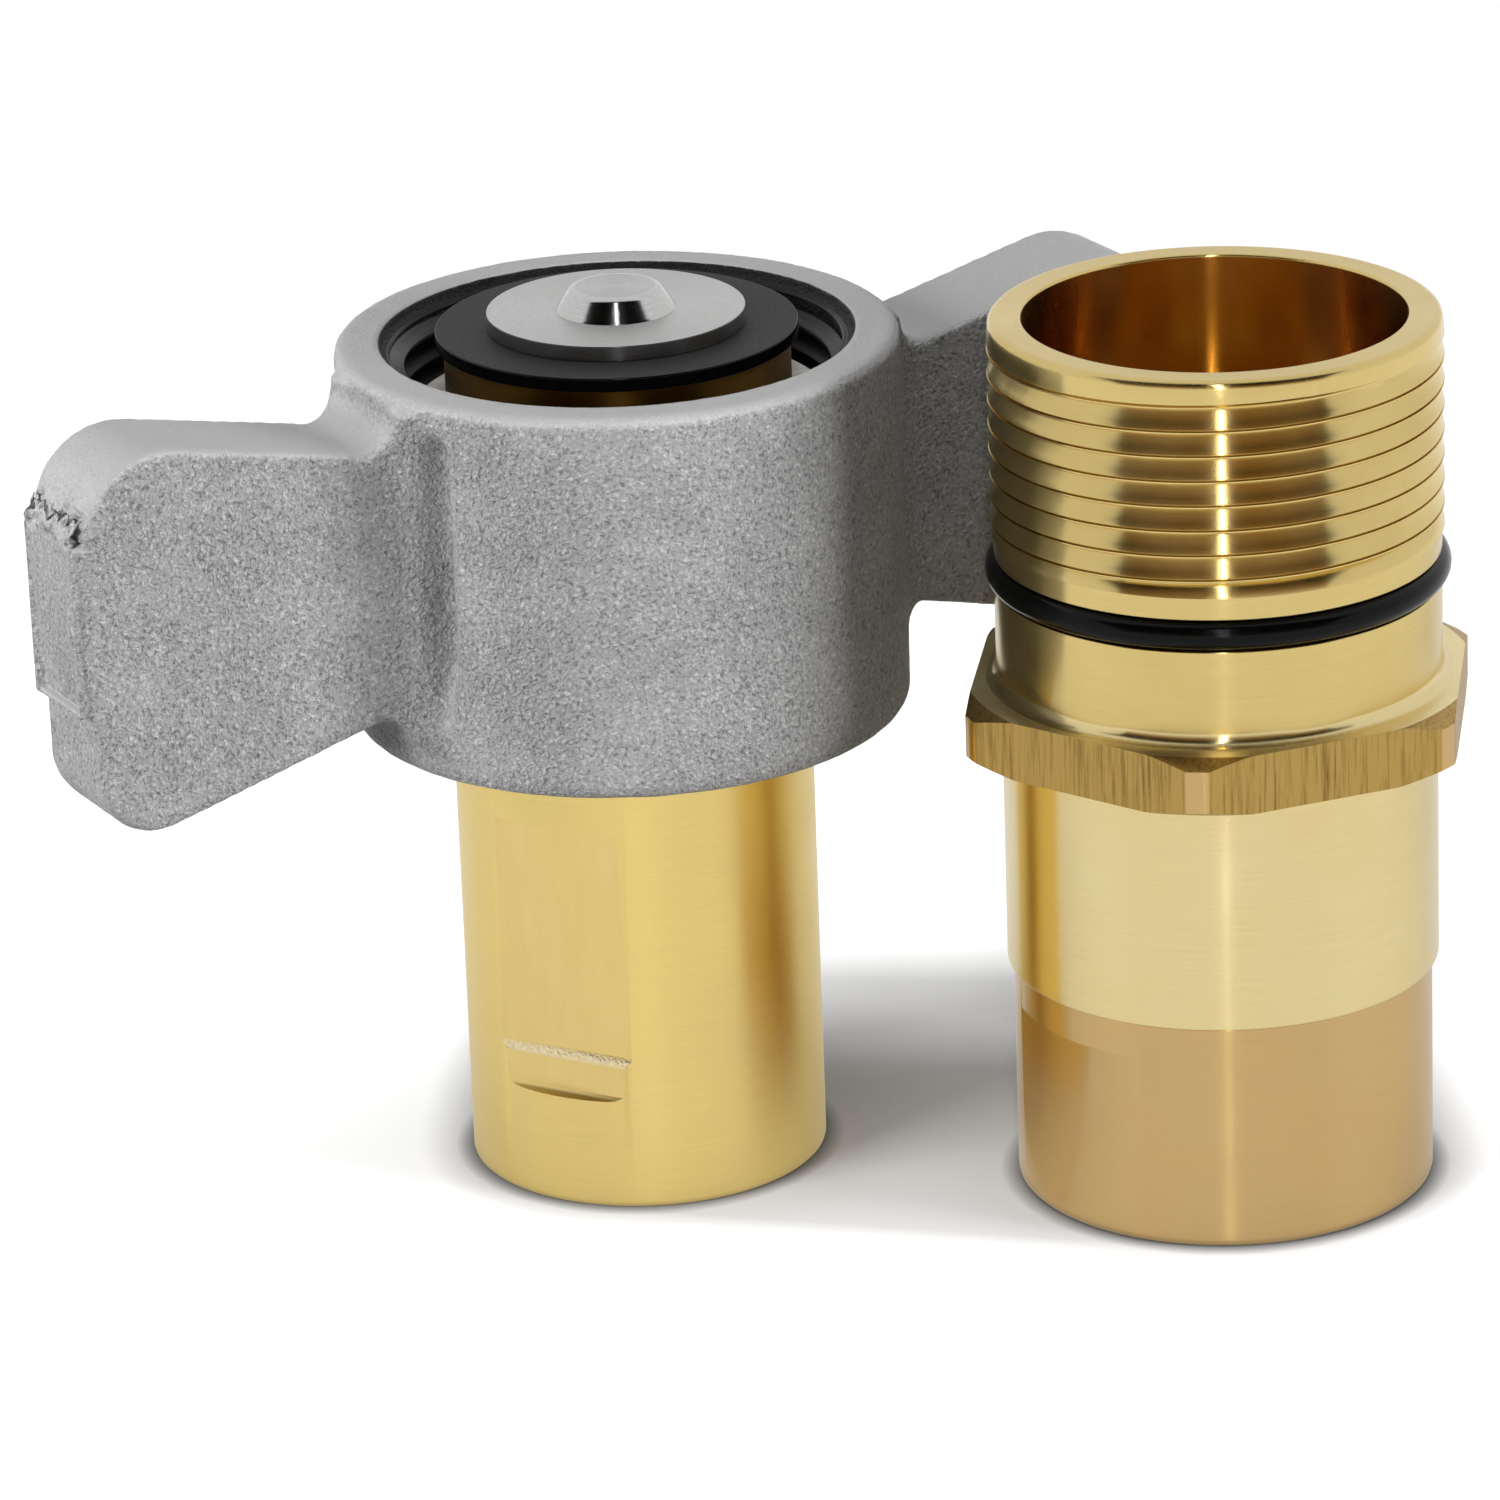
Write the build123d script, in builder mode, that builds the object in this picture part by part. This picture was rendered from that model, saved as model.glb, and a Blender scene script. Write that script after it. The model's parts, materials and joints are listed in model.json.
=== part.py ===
# Wing nut quick coupler for hydraulic lines, its two halves standing side by side.
# Lengths are in millimetres. The origin is on the axis of the half that carries the
# wing nut, at the face it stands on. +Z points out of the nut's mouth, +X runs along
# the nut's wings. The outer thread is drawn as ring grooves, one to a turn. The inner
# ones are plain bores: the nut's at its root, the pipe ports' at their tapping size.

from math import cos, radians, sin, sqrt, tan
import os

from build123d import *

os.makedirs("parts", exist_ok=True)

# Pipe ports, one inch taper pipe thread in both halves
port_bore = 14.7
port_depth = 24.0
edge_break = 0.5

# Body of the nut half. The other pieces' radii follow from its tube.
tube_radius = 23.0
tube_wall = 4.4
collar_step = 3.2
collar_bottom = 70.0
spider_seat = 27.0
spider_land = 2.1
collar_radius = tube_radius + collar_step
chamber_radius = tube_radius - tube_wall
spider_ledge = chamber_radius - spider_land

# Coupling thread: crests of the outer one, root of the nut's. The collar passes
# through the nut's thread.
thread_pass = 2.4
thread_play = 0.25
nut_thread_radius = collar_radius + thread_pass
thread_radius = nut_thread_radius - thread_play

# Wrench pockets milled into the tube
pocket_depth = 1.88
pocket_low = 19.8
pocket_top = 51.2
pocket_cutter = 8.0
pocket_turn = -146.9
pocket_flat = tube_radius - pocket_depth

# Wing nut
nut_wall = 7.1
nut_height = 49.9
nut_bore_play = 0.35
nut_recess_play = 3.0
nut_recess = 2.9
nut_flange = 5.0
nut_relief_step = 0.8
nut_relief = 15.8
nut_mouth_width = 1.2
nut_radius = nut_thread_radius + nut_wall
nut_bore = tube_radius + nut_bore_play
nut_recess_radius = tube_radius + nut_recess_play
nut_relief_radius = nut_thread_radius + nut_relief_step
nut_mouth_radius = nut_thread_radius + nut_mouth_width
nut_mouth_depth = 1.2
nut_mouth_lead = 0.5
nut_mouth_step = 0.7
nut_top_round = 1.5
nut_foot_round = 2.4
thrust_thickness = 1.6
nut_play = 0.2

# Wings, given on one wing as distance from the axis and height above the nut's foot
wing_half_thickness = 8.0
wing_reach = 77.8
wing_top_at_axis = 34.8
wing_top_slope = 12.3
wing_foot_at_axis = 17.9
wing_foot_slope = 14.4
wing_side_blend = 8.0
wing_top_blend = 4.5
wing_foot_blend = 3.0
wing_top_corner = 10.5
wing_foot_corner = 8.0
wing_edge_round = 1.4
gate_proud = 2.0
gate_low = 16.2
gate_high = 42.1
nut_wall_bite = 3.0

# Retaining rings
clip_thickness = 1.6
clip_gap = 9.0
nut_clip_bite = 1.4
nut_clip_reach = 2.2
spider_clip_bite = 1.2
spider_clip_reach = 3.0
nut_clip_groove = tube_radius - nut_clip_bite
nut_clip_outer = tube_radius + nut_clip_reach
spider_clip_groove = chamber_radius + spider_clip_bite
spider_clip_inner = chamber_radius - spider_clip_reach

# Fixed head that closes the tubular valve
head_height = 109.6
washer_inset = 0.13
washer_radius = tube_radius - washer_inset
bolt_radius = 5.0
washer_thickness = 1.8
disc_radius = 16.3
disc_thickness = 2.0
bolt_head_radius = 7.6
bolt_head_height = 2.8
bolt_head_chamfer = 0.8
spacer_wall = 2.6
spacer_radius = bolt_radius + spacer_wall
plate_rim = 2.2
plate_cone = 3.8

# Tubular valve
washer_lip = 1.02
nose_wall = 2.95
plate_play = 0.4
nose_radius = washer_radius - washer_lip
nose_bore = nose_radius - nose_wall
plate_radius = nose_bore - plate_play
nose_height = 8.4
seal_thickness = 1.2
sleeve_flange = 2.7
sleeve_flange_radius = collar_radius
skirt_wall = 3.4
skirt_bore = chamber_radius - skirt_wall
skirt_length = 31.3
sleeve_stroke = 12.0
sleeve_ring = 2.4

# Spiders that hold the stems
spider_thickness = 5.0
spider_rim = 2.4
spider_arm = 4.0
spider_hub = 8.5

# Springs
spring_wire = 2.6
sleeve_spring_inset = 2.0
sleeve_spring_radius = chamber_radius - sleeve_spring_inset
sleeve_spring_turns = 5.5
poppet_spring_radius = 15.5
poppet_spring_turns = 6.5

# Body of the threaded half. Its socket takes the fixed head of the nut half.
socket_play = 1.05
socket_depth = 16.5
land_step = 0.62
land_length = 5.7
inner_step = 0.7
spigot_step = 0.6
spigot_hole_depth = 20.5
socket_radius = washer_radius + socket_play
land_radius = socket_radius - land_step
inner_radius = land_radius + inner_step
spigot_hole_radius = inner_radius + spigot_step
barrel_wall = 2.85
barrel_length = 30.6
barrel_radius = spigot_hole_radius + barrel_wall
hex_step = 2.95
hex_corner_step = 3.9
hex_face_step = 1.6
hex_height = 7.6
hex_bevel = 1.1
hex_crown = 6.0
hex_turn = -127.1
hex_flats = (barrel_radius + hex_step) * 2
hex_corner_radius = hex_flats / 2 + hex_corner_step
hex_face_radius = hex_flats / 2 + hex_face_step
neck_step = 0.32
neck_fillet = 1.8
neck_radius = thread_radius - neck_step
ring_groove_height = 12.2
ring_groove_width = 4.0
dust_ring = 3.8
dust_ring_proud = 1.15
dust_ring_radius = neck_radius + dust_ring_proud
thread_start = 19.2
thread_length = 26.4
thread_pitch = 3.175
thread_depth = 1.9
thread_grooves = 8
thread_lead = 2.1
thread_root_flat = 0.4
thread_groove_width = 2.3
rim_step = 0.85
rim_chamfer = 1.2
rim_radius = thread_radius - rim_step

# Port adapter of the threaded half
adapter_step = 0.85
adapter_length = 29.8
adapter_flat_depth = 2.6
adapter_flat_low = 9.0
adapter_flat_top = 23.4
adapter_flat_turn = -171.4
spigot_length = 15.5
spigot_clearance = 0.05
spigot_wall = 5.55
joint_ring = 2.0
adapter_radius = barrel_radius - adapter_step
spigot_radius = spigot_hole_radius - spigot_clearance
adapter_bore = spigot_radius - spigot_wall

# Place of the threaded half beside the nut half
stand_gap = 5.74
half_spacing = nut_radius + hex_corner_radius + stand_gap
half_bearing = -40.25

# Poppet
poppet_clearance = 0.08
poppet_thickness = 5.6
poppet_set_back = 0.2
poppet_recess = 3.2
poppet_recess_radius = 9.0
poppet_ring = 2.4
lug_count = 3
lug_play = 0.3
lug_radius = inner_radius - lug_play
lug_width = 5.0
lug_height = 6.5
poppet_boss = 11.0
poppet_boss_height = 8.5
poppet_stem_radius = 6.0
guide_hub = 10.0
guide_hub_height = 12.6

# How far a cutter starts outside the piece that it cuts
overrun = 1.0

# Clearances
running = 0.06
skirt_clearance = 0.08
assembly = 0.05
groove_play = 0.1
stop_gap = 0.3

# Heights that follow from the sizes above
nut_flange_top = collar_bottom - thrust_thickness - nut_play
nut_flange_bottom = nut_flange_top - nut_flange
nut_bottom = nut_flange_bottom - nut_recess
nut_rim = nut_bottom + nut_height
clip_top = nut_flange_bottom - assembly * 2
flange_top = head_height - nose_height
flange_bottom = flange_top - seal_thickness - sleeve_flange
body_top = flange_bottom - sleeve_stroke - stop_gap
spider_top = spider_seat + spider_thickness
spider_clip_top = spider_top + assembly + clip_thickness
skirt_bottom = flange_bottom - skirt_length
skirt_radius = chamber_radius - skirt_clearance
disc_bottom = head_height + washer_thickness
disc_top = disc_bottom + disc_thickness
plate_bottom = head_height - plate_rim - plate_cone

male = (half_spacing * cos(radians(half_bearing)), half_spacing * sin(radians(half_bearing)), 0)
female = (0, 0, 0)
barrel_top = adapter_length + barrel_length
hex_top = barrel_top + hex_height
ring_groove_low = hex_top + ring_groove_height
thread_low = hex_top + thread_start
thread_high = thread_low + thread_length
male_rim = thread_high + rim_chamfer
land_top = male_rim - socket_depth
land_low = land_top - land_length
guide_step = adapter_length + spigot_hole_depth
guide_low = adapter_length + spigot_length + assembly * 2
poppet_face = land_top - poppet_set_back
poppet_back = poppet_face - poppet_thickness
poppet_radius = land_radius - poppet_clearance


def side_plane(centre):
    # Upright plane through an axis: sketch x is the radius, sketch y the height
    return Plane(origin=centre, x_dir=(1, 0, 0), z_dir=(0, -1, 0))


def turned(centre, outline, mode=Mode.ADD):
    # A shape turned on the lathe, from its outline as (radius, height) points
    with BuildSketch(side_plane(centre)) as profile:
        with BuildLine():
            Polyline(*outline, close=True)
        make_face()
    revolve(profiles=profile.sketch, axis=Axis(centre, (0, 0, 1)), mode=mode)


def plain_ring(centre, inner, outer, low, height, mode=Mode.ADD):
    # A ring of square section, or with Mode.SUBTRACT a groove of that section
    high = low + height
    turned(centre, [(inner, low), (outer, low), (outer, high), (inner, high)], mode)


def turned_plane(centre, turn, height=0):
    # Level plane at a height over a half, its x axis turned by an angle
    x_dir = (cos(radians(turn)), sin(radians(turn)), 0)
    return Plane(origin=(centre[0], centre[1], height), x_dir=x_dir, z_dir=(0, 0, 1))


def spanner_pockets(centre, reach, flat, low, top, turn):
    # Two opposite pockets, flat and square at the top, that run out below in the cutter's radius
    for side in (0, 180):
        swing = radians(turn + side)
        across = Plane(origin=centre, x_dir=(cos(swing), sin(swing), 0), z_dir=(sin(swing), -cos(swing), 0))
        with BuildSketch(across) as pocket:
            with BuildLine():
                outside = flat + pocket_cutter
                Polyline((flat, low), (flat, top), (outside, top), (outside, low - pocket_cutter))
                CenterArc((outside, low), pocket_cutter, 180, 90)
            make_face()
        extrude(pocket.sketch, amount=reach, both=True, mode=Mode.SUBTRACT)


def seal_ring(name, centre, outer_radius, section, height):
    # Moulded ring of round section
    with BuildPart() as ring:
        with BuildSketch(side_plane(centre)) as profile:
            with Locations((outer_radius - section / 2, height)):
                Circle(section / 2)
        revolve(profiles=profile.sketch, axis=Axis(centre, (0, 0, 1)))
    save(ring.part, name)


def coil_spring(name, centre, coil_radius, turns, low, high):
    # Coil of square wire between its two seats, with a little play at each end
    rise = high - low - spring_wire - stop_gap
    start = (centre[0], centre[1], low + (spring_wire + stop_gap) / 2)
    with BuildPart() as spring:
        with BuildLine() as coil:
            Helix(pitch=rise / turns, height=rise, radius=coil_radius, center=start)
        with BuildSketch(Plane(coil.line @ 0, x_dir=(1, 0, 0), z_dir=coil.line % 0)):
            Rectangle(spring_wire, spring_wire)
        sweep(path=coil.line, is_frenet=True)
    save(spring.part, name)


def spider(name, centre, low, outer, rim_height, hub_radius, hub_height, bore):
    # Guide with a rim, a bored hub and three arms that let the fluid pass
    with BuildPart() as guide:
        rim_inner = outer - spider_rim
        plain_ring(centre, rim_inner, outer, low, rim_height)
        plain_ring(centre, 0, hub_radius, low, hub_height)
        arm_length = outer - spider_rim / 2
        for turn in range(0, 360, 120):
            with BuildSketch(turned_plane(centre, turn, low)):
                with Locations((arm_length / 2, 0)):
                    Rectangle(arm_length, spider_arm)
            extrude(amount=rim_height)
        plain_ring(centre, 0, bore, low, hub_height, Mode.SUBTRACT)
    save(guide.part, name)


def retaining_ring(name, inner, outer, low, gap_turn):
    # Flat spring ring, open on one side
    with BuildPart() as clip:
        plain_ring(female, inner, outer, low, clip_thickness)
        with BuildSketch(turned_plane(female, gap_turn, low)):
            with Locations((outer, 0)):
                Rectangle(outer, clip_gap)
        extrude(amount=clip_thickness, mode=Mode.SUBTRACT)
    save(clip.part, name)


def save(shape, name):
    shape.label = name
    export_step(shape, f"parts/{name}.step")


# Body of the nut half: a tube with the pipe port below and a collar inside the nut
with BuildPart() as female_body:
    turned(female, [
        (port_bore, 0),
        (tube_radius - edge_break, 0),
        (tube_radius, edge_break),
        (tube_radius, collar_bottom),
        (collar_radius, collar_bottom),
        (collar_radius, body_top - edge_break),
        (collar_radius - edge_break, body_top),
        (chamber_radius + edge_break, body_top),
        (chamber_radius, body_top - edge_break),
        (chamber_radius, spider_seat),
        (spider_ledge, spider_seat),
        (spider_ledge, port_depth + spider_ledge - port_bore),
        (port_bore, port_depth),
    ])
    clip_groove = clip_thickness + assembly * 2
    groove_low = clip_top - clip_groove + assembly
    plain_ring(female, nut_clip_groove, tube_radius + overrun, groove_low, clip_groove, Mode.SUBTRACT)
    plain_ring(female, chamber_radius - overrun, spider_clip_groove, spider_top, clip_groove, Mode.SUBTRACT)
    spanner_pockets(female, tube_radius, pocket_flat, pocket_low, pocket_top, pocket_turn)
save(female_body.part, "female_body")


# Thrust ring that the nut pulls against, under the collar
with BuildPart() as thrust_ring:
    plain_ring(female, nut_bore, collar_radius, collar_bottom - thrust_thickness, thrust_thickness)
save(thrust_ring.part, "thrust_ring")

retaining_ring("nut_clip", nut_clip_groove + assembly, nut_clip_outer, clip_top - clip_thickness, 90)
retaining_ring("spider_clip", spider_clip_inner, spider_clip_groove - assembly, spider_top + assembly, -90)


# One wing, cut by its shape from above and by its shape from the side. From above it
# swells into the hub in a hollow blend, from the side it flares towards its tip.
def wing_top(distance):
    return nut_bottom + wing_top_at_axis + distance * tan(radians(wing_top_slope))


def wing_foot(distance):
    return nut_bottom + wing_foot_at_axis - distance * tan(radians(wing_foot_slope))


blend_centre = sqrt((nut_radius + wing_side_blend) ** 2 - (wing_half_thickness + wing_side_blend) ** 2)
blend_share = nut_radius / (nut_radius + wing_side_blend)
blend_x = blend_centre * blend_share
blend_y = (wing_half_thickness + wing_side_blend) * blend_share
wing_root = nut_radius - nut_wall_bite
top_leg = wing_top_blend / tan(radians(45 - wing_top_slope / 2)) + 0.1
foot_leg = wing_foot_blend / tan(radians(45 - wing_foot_slope / 2)) + 0.1

with BuildPart() as wing:
    with BuildSketch(Plane.XY.offset(nut_bottom)):
        with BuildLine():
            Line((wing_root, blend_y), (blend_x, blend_y))
            RadiusArc((blend_x, blend_y), (blend_centre, wing_half_thickness), -wing_side_blend)
            Line((blend_centre, wing_half_thickness), (wing_reach, wing_half_thickness))
            Line((wing_reach, wing_half_thickness), (wing_reach, 0))
            mirror(about=Plane.XZ)
            Line((wing_root, blend_y), (wing_root, -blend_y))
        make_face()
    extrude(amount=nut_height)
    with BuildSketch(Plane.XZ) as outline:
        with BuildLine():
            Polyline(
                (wing_root, wing_top(nut_radius) + top_leg),
                (nut_radius, wing_top(nut_radius) + top_leg),
                (nut_radius, wing_top(nut_radius)),
                (wing_reach, wing_top(wing_reach)),
                (wing_reach, wing_foot(wing_reach)),
                (nut_radius, wing_foot(nut_radius)),
                (nut_radius, wing_foot(nut_radius) - foot_leg),
                (wing_root, wing_foot(nut_radius) - foot_leg),
                close=True,
            )
        make_face()
        for distance, height, blend in (
            (wing_reach, wing_top(wing_reach), wing_top_corner),
            (wing_reach, wing_foot(wing_reach), wing_foot_corner),
            (nut_radius, wing_top(nut_radius), wing_top_blend),
            (nut_radius, wing_foot(nut_radius), wing_foot_blend),
        ):
            fillet(outline.vertices().sort_by_distance((distance, height))[0], blend)
    extrude(outline.sketch, amount=nut_radius, both=True, mode=Mode.INTERSECT)
    rims = wing.edges().filter_by(lambda edge: edge.center().X > blend_centre and abs(edge.center().Y) > 1)
    fillet(rims, wing_edge_round)
    # Stub where the casting's gate was broken off
    with BuildSketch(Plane.YZ.offset(wing_reach - wing_edge_round)):
        with Locations((0, nut_bottom + (gate_low + gate_high) / 2)):
            Rectangle(2 * (wing_half_thickness - wing_edge_round), gate_high - gate_low)
    extrude(amount=wing_edge_round + gate_proud)

# Wing nut: hub with two wings, hollow inside, its thread bore at the top
with BuildPart() as wing_nut:
    turned(female, [(0, nut_bottom), (nut_radius, nut_bottom), (nut_radius, nut_rim), (0, nut_rim)])
    fillet(wing_nut.edges().filter_by(GeomType.CIRCLE).sort_by(Axis.Z)[-1], nut_top_round)
    fillet(wing_nut.edges().filter_by(GeomType.CIRCLE).sort_by(Axis.Z)[0], nut_foot_round)
    add(wing.part)
    add(wing.part.rotate(Axis.Z, 180))
    thread_foot = nut_flange_top + nut_relief
    mouth_foot = nut_rim - nut_mouth_depth
    turned(female, [
        (0, nut_bottom),
        (nut_recess_radius, nut_bottom),
        (nut_recess_radius, nut_flange_bottom),
        (nut_bore, nut_flange_bottom),
        (nut_bore, nut_flange_top),
        (nut_relief_radius, nut_flange_top),
        (nut_relief_radius, thread_foot),
        (nut_thread_radius, thread_foot + nut_relief_radius - nut_thread_radius),
        (nut_thread_radius, mouth_foot - nut_mouth_lead),
        (nut_mouth_radius - nut_mouth_step, mouth_foot),
        (nut_mouth_radius, mouth_foot),
        (nut_mouth_radius, nut_rim),
        (0, nut_rim),
    ], Mode.SUBTRACT)
save(wing_nut.part, "wing_nut")


# Fixed head: spider, stem tube, backing plate, seal washer, retaining disc and bolt
bolt_bore = bolt_radius + assembly
spider("flow_spider", female, spider_seat, chamber_radius - assembly, spider_thickness, spider_hub,
       spider_thickness * 2, bolt_bore)

with BuildPart() as stem_spacer:
    low = spider_seat + spider_thickness * 2
    plain_ring(female, bolt_bore, spacer_radius, low, plate_bottom - low)
save(stem_spacer.part, "stem_spacer")

with BuildPart() as backing_plate:
    turned(female, [
        (bolt_bore, plate_bottom),
        (spacer_radius + edge_break, plate_bottom),
        (plate_radius, head_height - plate_rim),
        (plate_radius, head_height),
        (bolt_bore, head_height),
    ])
save(backing_plate.part, "backing_plate")

with BuildPart() as seal_washer:
    plain_ring(female, bolt_bore, washer_radius, head_height, washer_thickness)
save(seal_washer.part, "seal_washer")

with BuildPart() as retainer_disc:
    plain_ring(female, bolt_bore, disc_radius, disc_bottom, disc_thickness)
    outer_rim = retainer_disc.edges().filter_by(GeomType.CIRCLE).sort_by(SortBy.RADIUS)[-2:]
    fillet(outer_rim.sort_by(Axis.Z)[-1], edge_break / 2)
save(retainer_disc.part, "retainer_disc")

with BuildPart() as head_bolt:
    head_top = disc_top + bolt_head_height
    turned(female, [
        (0, spider_seat),
        (bolt_radius, spider_seat),
        (bolt_radius, disc_top),
        (bolt_head_radius, disc_top),
        (bolt_head_radius, head_top - bolt_head_chamfer),
        (bolt_head_radius - bolt_head_chamfer, head_top),
        (0, head_top),
    ])
save(head_bolt.part, "head_bolt")


# Tubular valve: nose, flange and skirt in one piece, with its seals and its spring
sleeve_ring_height = skirt_bottom + sleeve_ring * 1.5
with BuildPart() as valve_sleeve:
    turned(female, [
        (skirt_bore, skirt_bottom),
        (skirt_radius - edge_break, skirt_bottom),
        (skirt_radius, skirt_bottom + edge_break),
        (skirt_radius, flange_bottom),
        (sleeve_flange_radius, flange_bottom),
        (sleeve_flange_radius, flange_bottom + sleeve_flange),
        (nose_radius, flange_bottom + sleeve_flange),
        (nose_radius, head_height),
        (nose_bore, head_height),
        (nose_bore, flange_bottom + sleeve_flange),
        (skirt_bore, flange_bottom + sleeve_flange - (nose_bore - skirt_bore)),
    ])
    ring_floor = chamber_radius - skirt_clearance / 2 - sleeve_ring
    groove_low = sleeve_ring_height - sleeve_ring / 2 - groove_play
    groove_width = sleeve_ring + groove_play * 2
    plain_ring(female, ring_floor, skirt_radius + overrun, groove_low, groove_width, Mode.SUBTRACT)
save(valve_sleeve.part, "valve_sleeve")

with BuildPart() as face_seal:
    seal_bottom = flange_top - seal_thickness
    plain_ring(female, nose_radius + assembly, sleeve_flange_radius, seal_bottom, seal_thickness)
save(face_seal.part, "face_seal")

seal_ring("sleeve_ring", female, chamber_radius - skirt_clearance / 2, sleeve_ring, sleeve_ring_height)
coil_spring("sleeve_spring", female, sleeve_spring_radius, sleeve_spring_turns, spider_clip_top, skirt_bottom)


# Port adapter of the threaded half, with two wrench pockets and a spigot into the body
spigot_top = adapter_length + spigot_length
joint_ring_height = adapter_length + spigot_length / 2
joint_ring_radius = spigot_hole_radius - spigot_clearance / 2
with BuildPart() as port_adapter:
    turned(male, [
        (port_bore, 0),
        (adapter_radius, 0),
        (adapter_radius, adapter_length),
        (spigot_radius, adapter_length),
        (spigot_radius, spigot_top - edge_break),
        (spigot_radius - edge_break, spigot_top),
        (adapter_bore, spigot_top),
        (adapter_bore, port_depth + adapter_bore - port_bore),
        (port_bore, port_depth),
    ])
    foot = port_adapter.edges().filter_by(GeomType.CIRCLE).filter_by_position(Axis.Z, 0, 0)
    fillet(foot.sort_by(SortBy.RADIUS)[-1], edge_break)
    spanner_pockets(male, adapter_radius, adapter_radius - adapter_flat_depth, adapter_flat_low,
                    adapter_flat_top, adapter_flat_turn)
    joint_floor = joint_ring_radius - joint_ring
    groove_low = joint_ring_height - joint_ring / 2 - groove_play
    groove_width = joint_ring + groove_play * 2
    plain_ring(male, joint_floor, spigot_hole_radius, groove_low, groove_width, Mode.SUBTRACT)
save(port_adapter.part, "port_adapter")

seal_ring("adapter_ring", male, joint_ring_radius, joint_ring, joint_ring_height)


# Body of the threaded half: barrel, hexagon, neck with a ring groove, thread and socket
thread_outline = []
for turn in range(thread_grooves):
    height = thread_low + thread_lead + turn * thread_pitch
    thread_outline += [
        (thread_radius, height - thread_groove_width / 2),
        (thread_radius - thread_depth, height - thread_root_flat / 2),
        (thread_radius - thread_depth, height + thread_root_flat / 2),
        (thread_radius, height + thread_groove_width / 2),
    ]
with BuildPart() as male_body:
    with BuildSketch(turned_plane(male, hex_turn, barrel_top)):
        RegularPolygon(hex_flats / 2, 6, major_radius=False)
    extrude(amount=hex_height)
    with BuildSketch(side_plane(male)) as hex_outline:
        with BuildLine():
            lower_edge = (hex_face_radius, barrel_top)
            upper_edge = (hex_face_radius, hex_top)
            Polyline(upper_edge, (0, hex_top), (0, barrel_top), lower_edge)
            lower_corner = (hex_corner_radius, barrel_top + hex_bevel)
            upper_corner = (hex_corner_radius, hex_top - hex_bevel)
            RadiusArc(lower_edge, lower_corner, -hex_crown)
            Line(lower_corner, upper_corner)
            RadiusArc(upper_corner, upper_edge, -hex_crown)
        make_face()
    revolve(profiles=hex_outline.sketch, axis=Axis(male, (0, 0, 1)), mode=Mode.INTERSECT)
    turned(male, [
        (0, adapter_length),
        (barrel_radius - edge_break, adapter_length),
        (barrel_radius, adapter_length + edge_break),
        (barrel_radius, barrel_top),
        (neck_radius, barrel_top),
        (neck_radius, thread_low),
        (thread_radius, thread_low),
        *thread_outline,
        (thread_radius, thread_high),
        (rim_radius, male_rim),
        (0, male_rim),
    ])
    neck_foot = male_body.edges().filter_by(GeomType.CIRCLE).filter_by_position(Axis.Z, hex_top, hex_top)
    fillet(neck_foot.sort_by(SortBy.RADIUS)[0], neck_fillet)
    ring_floor = dust_ring_radius - dust_ring
    plain_ring(male, ring_floor, neck_radius + overrun, ring_groove_low, ring_groove_width, Mode.SUBTRACT)
    turned(male, [
        (0, adapter_length),
        (spigot_hole_radius, adapter_length),
        (spigot_hole_radius, guide_step),
        (inner_radius, guide_step),
        (inner_radius, land_low),
        (land_radius, land_low),
        (land_radius, land_top),
        (socket_radius, land_top),
        (socket_radius, male_rim),
        (0, male_rim),
    ], Mode.SUBTRACT)
save(male_body.part, "male_body")

seal_ring("dust_ring", male, dust_ring_radius, dust_ring, ring_groove_low + ring_groove_width / 2)

spider("guide_spider", male, guide_low, spigot_radius, guide_step - guide_low, guide_hub, guide_hub_height,
       poppet_stem_radius + running)


# Poppet with three guide lugs, its stem, its seal and its spring
lug_bottom = poppet_back - lug_height
with BuildPart() as poppet:
    turned(male, [
        (0, poppet_back - poppet_boss_height),
        (poppet_boss, poppet_back - poppet_boss_height),
        (poppet_boss, poppet_back),
        (poppet_radius, poppet_back),
        (poppet_radius, poppet_face - edge_break),
        (poppet_radius - edge_break, poppet_face),
        (poppet_recess_radius + edge_break, poppet_face),
        (poppet_recess_radius, poppet_face - poppet_recess),
        (0, poppet_face - poppet_recess),
    ])
    with BuildSketch(turned_plane(male, 0, lug_bottom)):
        with PolarLocations(lug_radius / 2, lug_count):
            Rectangle(lug_radius + lug_width, lug_width)
        Circle(lug_radius, mode=Mode.INTERSECT)
    extrude(amount=lug_height)
    boss_bottom = poppet_back - poppet_boss_height
    plain_ring(male, 0, poppet_stem_radius + assembly, boss_bottom, poppet_boss_height, Mode.SUBTRACT)
    poppet_ring_height = poppet_face - poppet_thickness / 2
    poppet_ring_radius = land_radius - poppet_clearance / 2
    groove_low = poppet_ring_height - poppet_ring / 2 - groove_play
    groove_width = poppet_ring + groove_play * 2
    ring_floor = poppet_ring_radius - poppet_ring
    plain_ring(male, ring_floor, poppet_radius + overrun, groove_low, groove_width, Mode.SUBTRACT)
save(poppet.part, "poppet")

with BuildPart() as poppet_stem:
    turned(male, [
        (0, guide_low),
        (poppet_stem_radius - edge_break, guide_low),
        (poppet_stem_radius, guide_low + edge_break),
        (poppet_stem_radius, poppet_back),
        (0, poppet_back),
    ])
save(poppet_stem.part, "poppet_stem")

seal_ring("poppet_ring", male, poppet_ring_radius, poppet_ring, poppet_ring_height)
coil_spring("poppet_spring", male, poppet_spring_radius, poppet_spring_turns, guide_step, lug_bottom)
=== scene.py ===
# Looks of the wing nut quick coupler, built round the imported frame. Sizes in the
# pieces' dictionaries are millimetres; the camera, floor and lamps are set in metres.
import json
from math import acos, atan2, ceil, cos, degrees, exp, pi, radians, sin, tan

import bmesh
import bpy
from mathutils import Matrix, Vector, noise


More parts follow.
